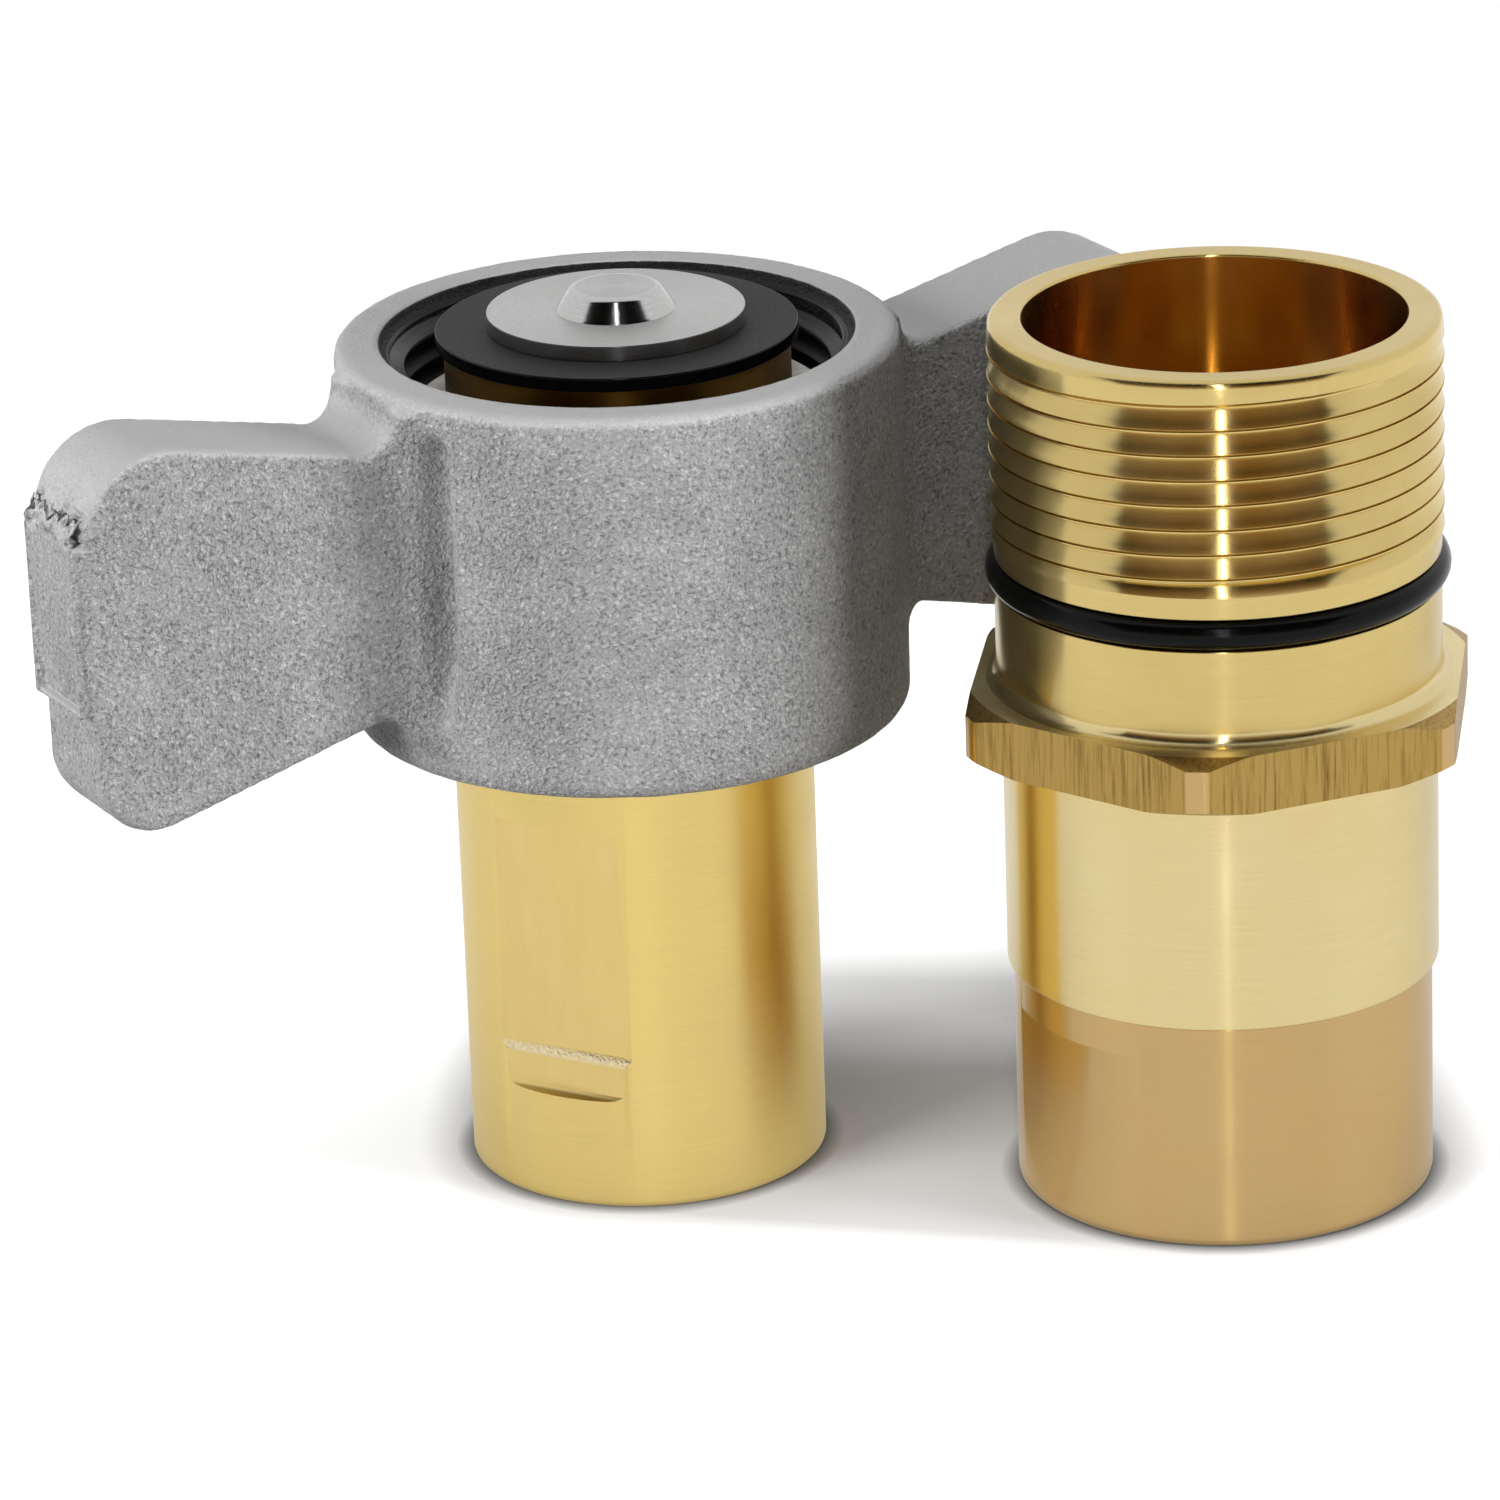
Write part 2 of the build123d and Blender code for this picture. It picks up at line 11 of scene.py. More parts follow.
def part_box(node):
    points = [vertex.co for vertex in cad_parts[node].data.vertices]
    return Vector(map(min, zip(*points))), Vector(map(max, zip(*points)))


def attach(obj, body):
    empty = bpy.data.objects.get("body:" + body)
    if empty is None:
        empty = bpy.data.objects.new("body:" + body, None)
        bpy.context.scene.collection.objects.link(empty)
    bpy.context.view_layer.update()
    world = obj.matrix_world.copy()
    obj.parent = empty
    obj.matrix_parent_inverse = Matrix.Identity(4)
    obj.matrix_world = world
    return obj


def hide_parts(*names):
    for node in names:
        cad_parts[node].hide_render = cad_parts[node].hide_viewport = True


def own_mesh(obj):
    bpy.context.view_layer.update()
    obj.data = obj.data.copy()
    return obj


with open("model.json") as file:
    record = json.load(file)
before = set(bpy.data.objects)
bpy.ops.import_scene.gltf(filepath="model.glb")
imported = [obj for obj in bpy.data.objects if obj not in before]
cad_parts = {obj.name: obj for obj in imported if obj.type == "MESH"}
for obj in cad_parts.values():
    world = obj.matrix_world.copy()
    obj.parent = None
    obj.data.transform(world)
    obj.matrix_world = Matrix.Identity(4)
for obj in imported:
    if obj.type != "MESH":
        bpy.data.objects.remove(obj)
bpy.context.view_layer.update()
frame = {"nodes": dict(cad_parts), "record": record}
mm = 0.001
mounts = {mount["name"]: mount for mount in frame["record"]["mounts"]}
nutHalfAxis = Vector((0, 0, 0))
threadedHalfAxis = Vector(mounts["male_port"]["pos_m"])
bpy.context.scene.view_settings.view_transform = "Standard"
print("frame loaded")


# Camera: at the photograph's angle, with its small tilt to one side
camera = {
    "place": (-0.43378, -0.82627, 0.40739),
    "heading": 28.61,
    "pitch": 20.781,
    "roll": 2.086,
    "lens": 186.72,
}


def makeCamera():
    heading, pitch, roll = (radians(camera[key]) for key in ("heading", "pitch", "roll"))
    forward = Vector((sin(heading) * cos(pitch), cos(heading) * cos(pitch), -sin(pitch)))
    level = Vector((cos(heading), -sin(heading), 0))
    upright = level.cross(forward)
    right = level * cos(roll) - upright * sin(roll)
    up = level * sin(roll) + upright * cos(roll)
    data = bpy.data.cameras.new("camera")
    data.lens = camera["lens"]
    data.sensor_width = 36
    data.clip_start = 0.05
    data.clip_end = 50
    eye = bpy.data.objects.new("camera", data)
    bpy.context.collection.objects.link(eye)
    turn = Matrix((right, up, -forward)).transposed().to_4x4()
    eye.matrix_world = Matrix.Translation(camera["place"]) @ turn
    bpy.context.scene.camera = eye
    return level, forward


level, forward = makeCamera()
print("camera set")


# Colour and node helpers
def hexColour(code):
    parts = [int(code[i:i + 2], 16) / 255 for i in (1, 3, 5)]
    linear = [part / 12.92 if part <= 0.04045 else ((part + 0.055) / 1.055) ** 2.4 for part in parts]
    return (*linear, 1)


def addNode(tree, kind, inputs=None, **settings):
    # an input takes a fixed value, an output, or a node whose first output is meant
    node = tree.nodes.new("ShaderNode" + kind)
    for name, value in settings.items():
        setattr(node, name, value)
    for name, value in (inputs or {}).items():
        source = value.outputs[0] if isinstance(value, bpy.types.Node) else value
        if isinstance(source, bpy.types.NodeSocket):
            tree.links.new(source, node.inputs[name])
        else:
            node.inputs[name].default_value = value
    return node


def newMaterial(name):
    material = bpy.data.materials.new(name)
    material.use_nodes = True
    material.node_tree.nodes.clear()
    return material, material.node_tree


def shade(tree, inputs):
    # the surface of a material
    addNode(tree, "OutputMaterial", {"Surface": addNode(tree, "BsdfPrincipled", inputs)})


def setRamp(node, stops):
    ramp = node.color_ramp
    while len(ramp.elements) > len(stops):
        ramp.elements.remove(ramp.elements[-1])
    while len(ramp.elements) < len(stops):
        ramp.elements.new(1)
    for element, (place, colour) in zip(ramp.elements, stops):
        element.position = place
        element.color = colour if len(colour) == 4 else (*colour, 1)


def grey(value):
    return (value, value, value, 1)


def perMillimetre(size):
    # texture scale for features of a real size, in object space metres
    return 1 / (size * mm)


# Lathe coordinates: distance from the axis and height, so that grooves run round; the
# angle counts for very little, so that no groove is quite even
angleShare = 0.0006


def latheSpace(tree, axis):
    place = addNode(tree, "TexCoord").outputs["Object"]
    offset = addNode(tree, "VectorMath", {0: place, 1: (axis.x, axis.y, 0)}, operation="SUBTRACT")
    split = addNode(tree, "SeparateXYZ", {0: offset})
    flat = addNode(tree, "CombineXYZ", {"X": split.outputs["X"], "Y": split.outputs["Y"]})
    radius = addNode(tree, "VectorMath", {0: flat}, operation="LENGTH")
    angle = addNode(tree, "Math", {0: split.outputs["Y"], 1: split.outputs["X"]}, operation="ARCTAN2")
    slow = addNode(tree, "Math", {0: angle, 1: angleShare}, operation="MULTIPLY")
    return addNode(tree, "CombineXYZ", {"X": radius.outputs["Value"], "Y": slow, "Z": split.outputs["Z"]})


# Brass turned on a lathe: fine tool grooves run round the axis and draw every light
# out into an upright line; thin tarnish clouds lie over it. Real grooves are about
# 0.1 mm apart, and are drawn coarser so that they show. A roughness between 0.23 and
# 0.34 is left out, because the denoiser then draws lines through the clouds.
turnedBrassFinish = {
    "roughness": 0.2,
    "grooveWidth": 0.22,
    "grooveDepth": 0.0012,
    "grooveTint": 0.02,
    "cloudSize": 14,
    "stretch": 0.92,
}


def turnedBrass(name, axis, light, dark, **changes):
    finish = {**turnedBrassFinish, **changes}
    material, tree = newMaterial(name)
    lathe = latheSpace(tree, axis)
    grooves = addNode(tree, "TexNoise", {
        "Vector": lathe, "Scale": perMillimetre(finish["grooveWidth"]), "Detail": 2, "Roughness": 0.6})
    place = addNode(tree, "TexCoord").outputs["Object"]
    clouds = addNode(tree, "TexNoise", {
        "Vector": place, "Scale": perMillimetre(finish["cloudSize"]), "Detail": 4, "Roughness": 0.55})
    tint = addNode(tree, "ValToRGB", {"Fac": clouds})
    setRamp(tint, [(0.2, hexColour(dark)), (0.8, hexColour(light))])
    lines = addNode(tree, "MapRange", {
        "Value": grooves, "From Min": 0.3, "From Max": 0.7,
        "To Min": 1 - finish["grooveTint"], "To Max": 1 + finish["grooveTint"]})
    colour = addNode(tree, "VectorMath", {0: tint, "Scale": lines}, operation="SCALE")
    rough = addNode(tree, "MapRange", {
        "Value": clouds, "To Min": finish["roughness"] * 0.5, "To Max": finish["roughness"] * 1.5})
    bump = addNode(tree, "Bump", {"Height": grooves, "Strength": 1, "Distance": finish["grooveDepth"] * mm})
    tangent = addNode(tree, "Tangent", direction_type="RADIAL", axis="Z")
    shade(tree, {
        "Base Color": colour, "Roughness": rough, "Normal": bump, "Tangent": tangent, "Metallic": 1,
        "Anisotropic": finish["stretch"], "Anisotropic Rotation": 0.25})
    return material


# Drawn hexagon bar: its sides keep upright scratches and brown streaks from the die,
# duller than the turned faces
def scratchedBrass(name, light="#ba9a58", dark="#866734", roughness=0.38, streak=0.55):
    material, tree = newMaterial(name)
    place = addNode(tree, "TexCoord").outputs["Object"]
    upright = addNode(tree, "Mapping", {"Vector": place, "Scale": (1, 1, 0.04)})
    streaks = addNode(tree, "TexNoise", {
        "Vector": upright, "Scale": perMillimetre(streak), "Detail": 5, "Roughness": 0.65})
    tint = addNode(tree, "ValToRGB", {"Fac": streaks})
    setRamp(tint, [(0.3, hexColour(dark)), (0.52, hexColour(light))])
    bump = addNode(tree, "Bump", {"Height": streaks, "Strength": 1, "Distance": 0.015 * mm})
    shade(tree, {"Base Color": tint, "Normal": bump, "Metallic": 1, "Roughness": roughness})
    return material


# Milled brass: a flat with faint slanting cutter marks, and a bumpy line of chatter where
# the cutter turned outwards, along which the colour is painted near white as a painted glint
def milledFlat(name, light, dark, low, paintedGlint="#fff6dc", roughness=0.38):
    material, tree = newMaterial(name)
    place = addNode(tree, "TexCoord").outputs["Object"]
    slanting = addNode(tree, "Mapping", {
        "Vector": place, "Rotation": (0.5, 0.4, 0), "Scale": (1, 1, 0.3)})
    marks = addNode(tree, "TexNoise", {
        "Vector": slanting, "Scale": perMillimetre(2.5), "Detail": 5, "Roughness": 0.6})
    tint = addNode(tree, "ValToRGB", {"Fac": marks})
    setRamp(tint, [(0.2, hexColour(dark)), (0.8, hexColour(light))])
    chatter = addNode(tree, "TexNoise", {"Vector": place, "Scale": perMillimetre(0.5), "Detail": 2})
    split = addNode(tree, "SeparateXYZ", {0: place})
    above = addNode(tree, "Math", {0: split.outputs["Z"], 1: low * mm}, operation="SUBTRACT")
    away = addNode(tree, "Math", {0: above}, operation="ABSOLUTE")
    line = addNode(tree, "MapRange", {"Value": away, "From Min": 0.8 * mm, "From Max": 0.3 * mm})
    smooth = addNode(tree, "Math", {0: marks, 1: 0.01}, operation="MULTIPLY")
    height = addNode(tree, "Math", {0: chatter, 1: line, 2: smooth}, operation="MULTIPLY_ADD")
    bump = addNode(tree, "Bump", {"Height": height, "Strength": 1, "Distance": 0.25 * mm})
    # painted glint: along the chatter line the colour turns near white
    paintedGlitter = addNode(tree, "Math", {0: line, 1: chatter}, operation="MULTIPLY")
    bright = addNode(tree, "Mix", {0: paintedGlitter, 6: tint, 7: hexColour(paintedGlint)}, data_type="RGBA")
    shade(tree, {"Base Color": bright.outputs[2], "Normal": bump, "Metallic": 1, "Roughness": roughness})
    return material


# Cast iron, blasted and plated light grey: its sides have a dull grain of pits and
# worn humps; what faces up is smoother and painted a little lighter as painted top light, and edges leaning
# up get a painted highlight
# edge and its share give the painted highlight on edges that lean up; top is the painted top light; inside
# is the painted near-black shade in the nut's mouth
castFinish = {
    "side": "#a2a2a2", "pit": "#787878", "worn": "#c2c2c2", "top": "#a9a9a9", "inside": "#1a1a1a",
    "edge": "#c8c8c8", "paintedEdgeHighlight": 0.6, "grain": 0.55, "pits": 0.5, "patch": 10, "mouth": 30.05,
    "depth": 0.9, "topDepth": 0.28, "roughness": 0.55,
}


def blastedIron(name):
    finish = castFinish
    material, tree = newMaterial(name)
    place = addNode(tree, "TexCoord").outputs["Object"]
    grains = addNode(tree, "TexNoise", {
        "Vector": place, "Scale": perMillimetre(finish["grain"]), "Detail": 3, "Roughness": 0.6,
        "Distortion": 0.5})
    pits = addNode(tree, "TexVoronoi", {
        "Vector": place, "Scale": perMillimetre(finish["pits"]), "Randomness": 1})
    height = addNode(tree, "Math", {0: pits, 1: 0.3, 2: grains}, operation="MULTIPLY_ADD")
    facing = addNode(tree, "NewGeometry")
    upward = addNode(tree, "SeparateXYZ", {"Vector": facing.outputs["Normal"]})
    top = addNode(tree, "MapRange", {"Value": upward.outputs["Z"], "From Min": 0.45, "From Max": 0.9})
    tint = addNode(tree, "ValToRGB", {"Fac": grains})
    setRamp(tint, [(0.34, hexColour(finish["pit"])), (0.45, hexColour(finish["side"])),
                   (0.55, hexColour(finish["side"])), (0.66, hexColour(finish["worn"]))])
    # edges that lean upwards are painted lighter, a painted highlight
    edgeHighlightMask = addNode(tree, "ValToRGB", {"Fac": upward.outputs["Z"]})
    paintedEdgeHighlight = grey(finish["paintedEdgeHighlight"])
    setRamp(edgeHighlightMask, [(0.15, grey(0)), (0.45, paintedEdgeHighlight), (0.65, paintedEdgeHighlight), (0.9, grey(0))])
    highlightedEdges = addNode(tree, "Mix", {0: edgeHighlightMask, 6: tint, 7: hexColour(finish["edge"])}, data_type="RGBA")
    # what faces up is painted a little lighter, as painted top light
    colour = addNode(tree, "Mix", {0: top, 6: highlightedEdges.outputs[2], 7: hexColour(finish["top"])},
                     data_type="RGBA")
    # inside the mouth the iron is painted nearly black, a painted shade for the nut's dark inside
    lathe = addNode(tree, "SeparateXYZ", {"Vector": latheSpace(tree, nutHalfAxis)})
    inside = addNode(tree, "MapRange", {
        "Value": lathe.outputs["X"],
        "From Min": (finish["mouth"] + 0.08) * mm, "From Max": (finish["mouth"] - 0.08) * mm})
    deep = addNode(tree, "Mix", {0: inside, 6: colour.outputs[2], 7: hexColour(finish["inside"])},
                   data_type="RGBA")
    # the blasting is patchy: strong in some places, nearly smooth in others
    patches = addNode(tree, "TexNoise", {
        "Vector": place, "Scale": perMillimetre(finish["patch"]), "Detail": 2})
    patchy = addNode(tree, "MapRange", {
        "Value": patches, "From Min": 0.35, "From Max": 0.6, "To Min": 0.7, "To Max": 1})
    strength = addNode(tree, "MapRange", {"Value": top, "To Min": patchy, "To Max": finish["topDepth"]})
    bump = addNode(tree, "Bump", {"Height": height, "Strength": strength, "Distance": finish["depth"] * mm})
    shade(tree, {
        "Base Color": deep.outputs[2], "Normal": bump, "Specular IOR Level": 0.25,
        "Roughness": finish["roughness"]})
    return material


# Steel faced on a lathe and left bare: silver, with circular brush lines, which are
# drawn a little coarser than the real ones so that they show
def facedSteel(name, axis, light="#cfcfce", dark="#a9a9a8", roughness=0.28, line=0.15, stretch=0.6):
    material, tree = newMaterial(name)
    lathe = latheSpace(tree, axis)
    lines = addNode(tree, "TexNoise", {
        "Vector": lathe, "Scale": perMillimetre(line), "Detail": 2, "Roughness": 0.6})
    tint = addNode(tree, "ValToRGB", {"Fac": lines})
    setRamp(tint, [(0.35, hexColour(dark)), (0.62, hexColour(light))])
    bump = addNode(tree, "Bump", {"Height": lines, "Strength": 1, "Distance": 0.001 * mm})
    tangent = addNode(tree, "Tangent", direction_type="RADIAL", axis="Z")
    shade(tree, {
        "Base Color": tint, "Normal": bump, "Tangent": tangent, "Metallic": 1, "Roughness": roughness,
        "Anisotropic": stretch, "Anisotropic Rotation": 0.25})
    return material


# Moulded nitrile rubber: nearly black, greyer where dust and talc lie on it
def nitrileRubber(name, colour, dust, roughness):
    material, tree = newMaterial(name)
    place = addNode(tree, "TexCoord").outputs["Object"]
    specks = addNode(tree, "TexNoise", {
        "Vector": place, "Scale": perMillimetre(0.7), "Detail": 5, "Roughness": 0.7})
    tint = addNode(tree, "ValToRGB", {"Fac": specks})
    setRamp(tint, [(0.45, hexColour(colour)), (0.72, hexColour(dust))])
    rough = addNode(tree, "MapRange", {
        "Value": specks, "From Min": 0.3, "From Max": 0.7,
        "To Min": roughness * 0.85, "To Max": roughness * 1.15})
    bump = addNode(tree, "Bump", {"Height": specks, "Strength": 1, "Distance": 0.006 * mm})
    shade(tree, {"Base Color": tint, "Roughness": rough, "Normal": bump, "Specular IOR Level": 0.14})
    return material


# Filled PTFE: pale, waxy sealing plastic with a faint mottle
def sealPlastic(name, colour="#d6d4cd", dark="#bcb9b0"):
    material, tree = newMaterial(name)
    place = addNode(tree, "TexCoord").outputs["Object"]
    mottle = addNode(tree, "TexNoise", {"Vector": place, "Scale": perMillimetre(2), "Detail": 3})
    tint = addNode(tree, "ValToRGB", {"Fac": mottle})
    setRamp(tint, [(0.35, hexColour(dark)), (0.6, hexColour(colour))])
    shade(tree, {"Base Color": tint, "Roughness": 0.4})
    return material


# Mesh helpers. An outline is a closed loop of (radius, height) points; a third value
# rounds that corner.
flatMargin = 0.12
sharpEdge = radians(32)


def roundCorners(points, steps=3):
    loop = []
    for i, here in enumerate(points):
        spot = Vector(here[:2])
        before = Vector(points[i - 1][:2]) - spot
        after = Vector(points[(i + 1) % len(points)][:2]) - spot
        corner = here[2] if len(here) > 2 else 0
        if corner <= 0:
            loop.append((spot.x, spot.y))
            continue
        if before.length < 1e-5 or after.length < 1e-5:
            loop.extend([(spot.x, spot.y)] * (steps + 3))
            continue
        reachBefore, reachAfter = before.length, after.length
        half = before.angle(after) / 2
        cut = min(corner / tan(half), before.length * 0.49, after.length * 0.49)
        corner = cut * tan(half)
        before.normalize()
        after.normalize()
        centre = spot + (before + after).normalized() * (corner / sin(half))
        first = spot + before * cut - centre
        last = spot + after * cut - centre
        sweep = first.angle(last)
        # a point more on each side keeps the straight parts' shading flat
        before *= min(cut + flatMargin, reachBefore * 0.495)
        after *= min(cut + flatMargin, reachAfter * 0.495)
        loop.append((spot.x + before.x, spot.y + before.y))
        for step in range(steps + 1):
            share = step / steps
            arm = first * sin((1 - share) * sweep) + last * sin(share * sweep)
            point = centre + arm / sin(sweep)
            loop.append((point.x, point.y))
        loop.append((spot.x + after.x, spot.y + after.y))
    return loop


def evenColumns(count=240, extra=()):
    # angles round the axis, with extra ones (degrees) taking the place of near ones
    step = 2 * pi / count
    extra = [radians(angle) % (2 * pi) for angle in extra]
    columns = [i * step for i in range(count)
               if all(abs((i * step - e + pi) % (2 * pi) - pi) > step * 0.5 for e in extra)]
    columns = sorted(columns + extra)
    return columns + [columns[0] + 2 * pi]


def finishMesh(name, mesh, materials, materialAt=None):
    work = bmesh.new()
    work.from_mesh(mesh)
    bmesh.ops.remove_doubles(work, verts=work.verts, dist=2e-7)
    bmesh.ops.dissolve_degenerate(work, edges=work.edges, dist=2e-7)
    bmesh.ops.recalc_face_normals(work, faces=work.faces)
    if materialAt:
        for face in work.faces:
            face.material_index = materials.index(materialAt(face))
    work.to_mesh(mesh)
    work.free()
    smoothShading(mesh)
    for material in materials:
        mesh.materials.append(material)
    piece = bpy.data.objects.new(name, mesh)
    bpy.context.collection.objects.link(piece)
    return piece


def smoothShading(mesh):
    # smooth, apart from the edges that are sharp on the real piece
    work = bmesh.new()
    work.from_mesh(mesh)
    for edge in work.edges:
        edge.smooth = len(edge.link_faces) != 2 or edge.calc_face_angle(0) < sharpEdge
    for face in work.faces:
        face.smooth = True
    work.to_mesh(mesh)
    work.free()


def turnedPiece(name, axis, outlineAt, materials, materialAt=None, columns=None):
    # outlineAt(angle) gives the outline there, always with the same number of points, and
    # materialAt(radius, height) the material of a face in that place
    columns = columns or evenColumns()
    points, faces = [], []
    for angle in columns:
        outline = outlineAt(angle)
        for radius, height in outline:
            outward = Vector((cos(angle), sin(angle), 0)) * radius
            points.append(axis + (outward + Vector((0, 0, height))) * mm)
    size = len(outline)
    for column in range(len(columns) - 1):
        for row in range(size):
            here, across = column * size, (column + 1) * size
            above = (row + 1) % size
            faces.append((here + row, across + row, across + above, here + above))
    mesh = bpy.data.meshes.new(name)
    mesh.from_pydata(points, [], faces)
    pick = None
    if materialAt:
        def pick(face):
            centre = face.calc_center_median() - axis
            return materialAt(Vector((centre.x, centre.y)).length / mm, centre.z / mm)
    return finishMesh(name, mesh, materials, pick)


def plainTurned(name, axis, outline, materials, materialAt=None):
    loop = roundCorners(outline)
    return turnedPiece(name, axis, lambda angle: loop, materials, materialAt)


def threadRun(angle, low, high, thread):
    # points of one column of a thread, bottom to top; the groove's depth fades at both
    # ends, and shape gives it as (share of a turn, share of the depth)
    pitch, shape = thread["pitch"], thread["shape"]

    def radiusAt(height):
        share = ((height - low) / pitch - angle / (2 * pi)) % 1
        for (here, deep), (there, deeper) in zip(shape, shape[1:] + [(1 + shape[0][0], shape[0][1])]):
            if here <= share <= there:
                depth = deep + (deeper - deep) * (share - here) / max(there - here, 1e-9)
                break
        else:
            depth = shape[0][1]
        fadeLow, fadeHigh = (height - low) / thread["fadeLow"], (high - height) / thread["fadeHigh"]
        fade = min(1, max(0, fadeLow), max(0, fadeHigh))
        return thread["crest"] + (thread["root"] - thread["crest"]) * depth * fade

    run = []
    for turn in range(-1, ceil((high - low) / pitch) + 1):
        for share, depth in shape:
            height = min(high, max(low, low + pitch * (turn + share + angle / (2 * pi))))
            run.append((radiusAt(height), height))
    return run


def dress(piece, body, *nodes, slot=None):
    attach(piece, body)
    if nodes:
        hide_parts(*nodes)
    return piece


# Finishes of the half with the nut. Tube: satin brass, evenly bright all over.
tubeBrass = turnedBrass("satinTubeBrass", nutHalfAxis, "#f2d88c", "#ebcf7e", roughness=0.36, stretch=0.6)
# its pockets: paler and dull, with a painted glint along the chatter line
milledBrass = milledFlat("milledPocketBrass", "#edd28a", "#e6cb80", low=19.8)
# valve sleeve: brass painted dark brown, a painted shade for its place low in the nut
shadeDarkSleeveBrass = turnedBrass("sleeveBrassPaintedShade", nutHalfAxis, "#80602a", "#664a1f", roughness=0.45)
# nut: a dull grey grain outside, and its machined thread painted nearly black as painted shade
castIron = blastedIron("blastedCastIron")
shadedThreadIron = facedSteel("machinedIronPaintedShade", nutHalfAxis, "#343434", "#222222", roughness=0.33, line=0.25)
# disc and boss: pale silver, the disc satin and the boss sharp like a mirror
discSteel = facedSteel("facedDiscSteel", nutHalfAxis, "#c0c0bf", "#b4b4b3", roughness=0.3)
bossSteel = facedSteel("turnedBossSteel", nutHalfAxis, "#cdcdcc", "#c2c2c1", roughness=0.14, stretch=0)
# the disc's rim: steel painted dark grey, a painted dark reflection
discRimPaintedDark = facedSteel("discRimSteelPaintedReflection", nutHalfAxis, "#5c5c5c", "#505050", roughness=0.3, stretch=0.9)
# springs and retaining rings: darker steel under a film of oil
springSteel = facedSteel("oiledSpringSteel", nutHalfAxis, "#7d7d80", "#55555a", roughness=0.3)
# washer: dusty black, and its outer edge takes the rings' darker, glossier rubber as painted shade
washerRubber = nitrileRubber("dustyWasherRubber", "#262626", "#2e2e2e", 0.55)
ringRubber = nitrileRubber("glossyRingRubber", "#030303", "#060606", 0.16)
paleSeal = sealPlastic("paleSealPlastic")

# Finishes of the threaded half. Body: pale brass, nearly polished, with an upright
# line of light; its thread and neck are a little yellower.
bodyBrass = turnedBrass("polishedBodyBrass", threadedHalfAxis, "#ead8a3", "#e1cb90", stretch=0.97)
threadBrass = turnedBrass("threadBrass", threadedHalfAxis, "#e2cb89", "#d2b874")
# socket: brass painted amber and darker, a painted shade with the light that goes from brass to brass in it
paintedAmberBoreBrass = turnedBrass("innerBrassPaintedShade", threadedHalfAxis, "#cb9a4c", "#b5833a")
# hexagon: streaked sides under a pale matt top
hexBrass = scratchedBrass("drawnHexBrass")
facedBrass = turnedBrass("facedHexTopBrass", threadedHalfAxis, "#f6e8b8", "#ecd89e", roughness=0.4,
                         stretch=0.3)
# adapter: brass of another batch, with a rose tint
adapterBrass = turnedBrass("roseAdapterBrass", threadedHalfAxis, "#d3b47c", "#cba870", roughness=0.225,
                           stretch=0.99)
# stem and spring inside: bare steel, and darker steel under a film of oil
innerSteel = facedSteel("stemSteel", threadedHalfAxis)
innerSpring = facedSteel("oiledPoppetSpringSteel", threadedHalfAxis, "#7d7d80", "#55555a", roughness=0.3)
print("materials made")


# Tube of the nut half, with its pipe port below
tube = {
    "outer": 23.0, "collar": 26.2, "collarLow": 70.0, "top": 85.0, "chamber": 18.6, "ledge": 16.5,
    "seat": 27.0, "portDepth": 24.0, "port": 14.7, "mouth": 16.9, "lead": 2.2,
    "pocketFlat": 21.12, "pocketLow": 19.8, "pocketTop": 51.2, "pocketTilt": 0.15, "pocketStep": 0.35,
    "pocketFoot": 14.6, "pocketRound": 0.6, "pocketTurn": -146.9, "chatter": 0.4,
}
pipeThread = {
    "pitch": 2.209, "crest": 14.75, "root": 16.2, "fadeLow": 0.01, "fadeHigh": 3.0,
    "shape": [(0, 0), (0.06, 0), (0.5, 1), (0.56, 1)],
}


def tubeOutline(angle):
    t = tube
    port = threadRun(angle, t["lead"], t["portDepth"] - 1, pipeThread)
    return roundCorners([
        (t["mouth"], 0), (t["outer"], 0, 0.6), (t["outer"], t["collarLow"]), (t["collar"], t["collarLow"]),
        (t["collar"], t["top"], 0.5), (t["chamber"], t["top"], 0.5), (t["chamber"], t["seat"]),
        (t["ledge"], t["seat"]), (t["ledge"], t["portDepth"] + t["ledge"] - t["port"]),
        (t["port"], t["portDepth"]),
    ] + port[::-1])


def pocketCutter(axis, turn, profile, finish, halfLength=30):
    # a slab longer than the piece is wide, drawn by its section: distance out and height
    size = len(profile)
    turn = radians(turn)
    outward, across = Vector((cos(turn), sin(turn), 0)), Vector((-sin(turn), cos(turn), 0))
    points = []
    for side in (-halfLength, halfLength):
        for out, height in profile:
            points.append(axis + (outward * out + across * side + Vector((0, 0, height))) * mm)
    faces = [tuple(range(size)), tuple(range(2 * size - 1, size - 1, -1))]
    faces += [(i, (i + 1) % size, size + (i + 1) % size, size + i) for i in range(size)]
    mesh = bpy.data.meshes.new("pocketCutter")
    mesh.from_pydata(points, [], faces)
    return finishMesh("pocketCutter", mesh, [finish])


def tubePocket():
    # leans in a little towards its foot, steps out by the chatter line, and ends in a
    # rounded corner
    t = tube
    flat, tilt, bend = t["pocketFlat"], t["pocketTilt"], t["pocketRound"]
    stepped, low, foot, far = flat + t["pocketStep"], t["pocketLow"], t["pocketFoot"], t["outer"] + 3
    return [(far, t["pocketTop"]), (flat + tilt, t["pocketTop"]), (flat - tilt, low + t["chatter"]),
            (stepped - tilt, low - t["chatter"]), (stepped, foot + bend),
            (stepped + bend / 2, foot + bend / 4), (flat + 1, foot), (far, foot)]


def applyModifiers(piece):
    bpy.context.view_layer.update()
    made = bpy.data.meshes.new_from_object(piece.evaluated_get(bpy.context.evaluated_depsgraph_get()))
    piece.modifiers.clear()
    piece.data = made


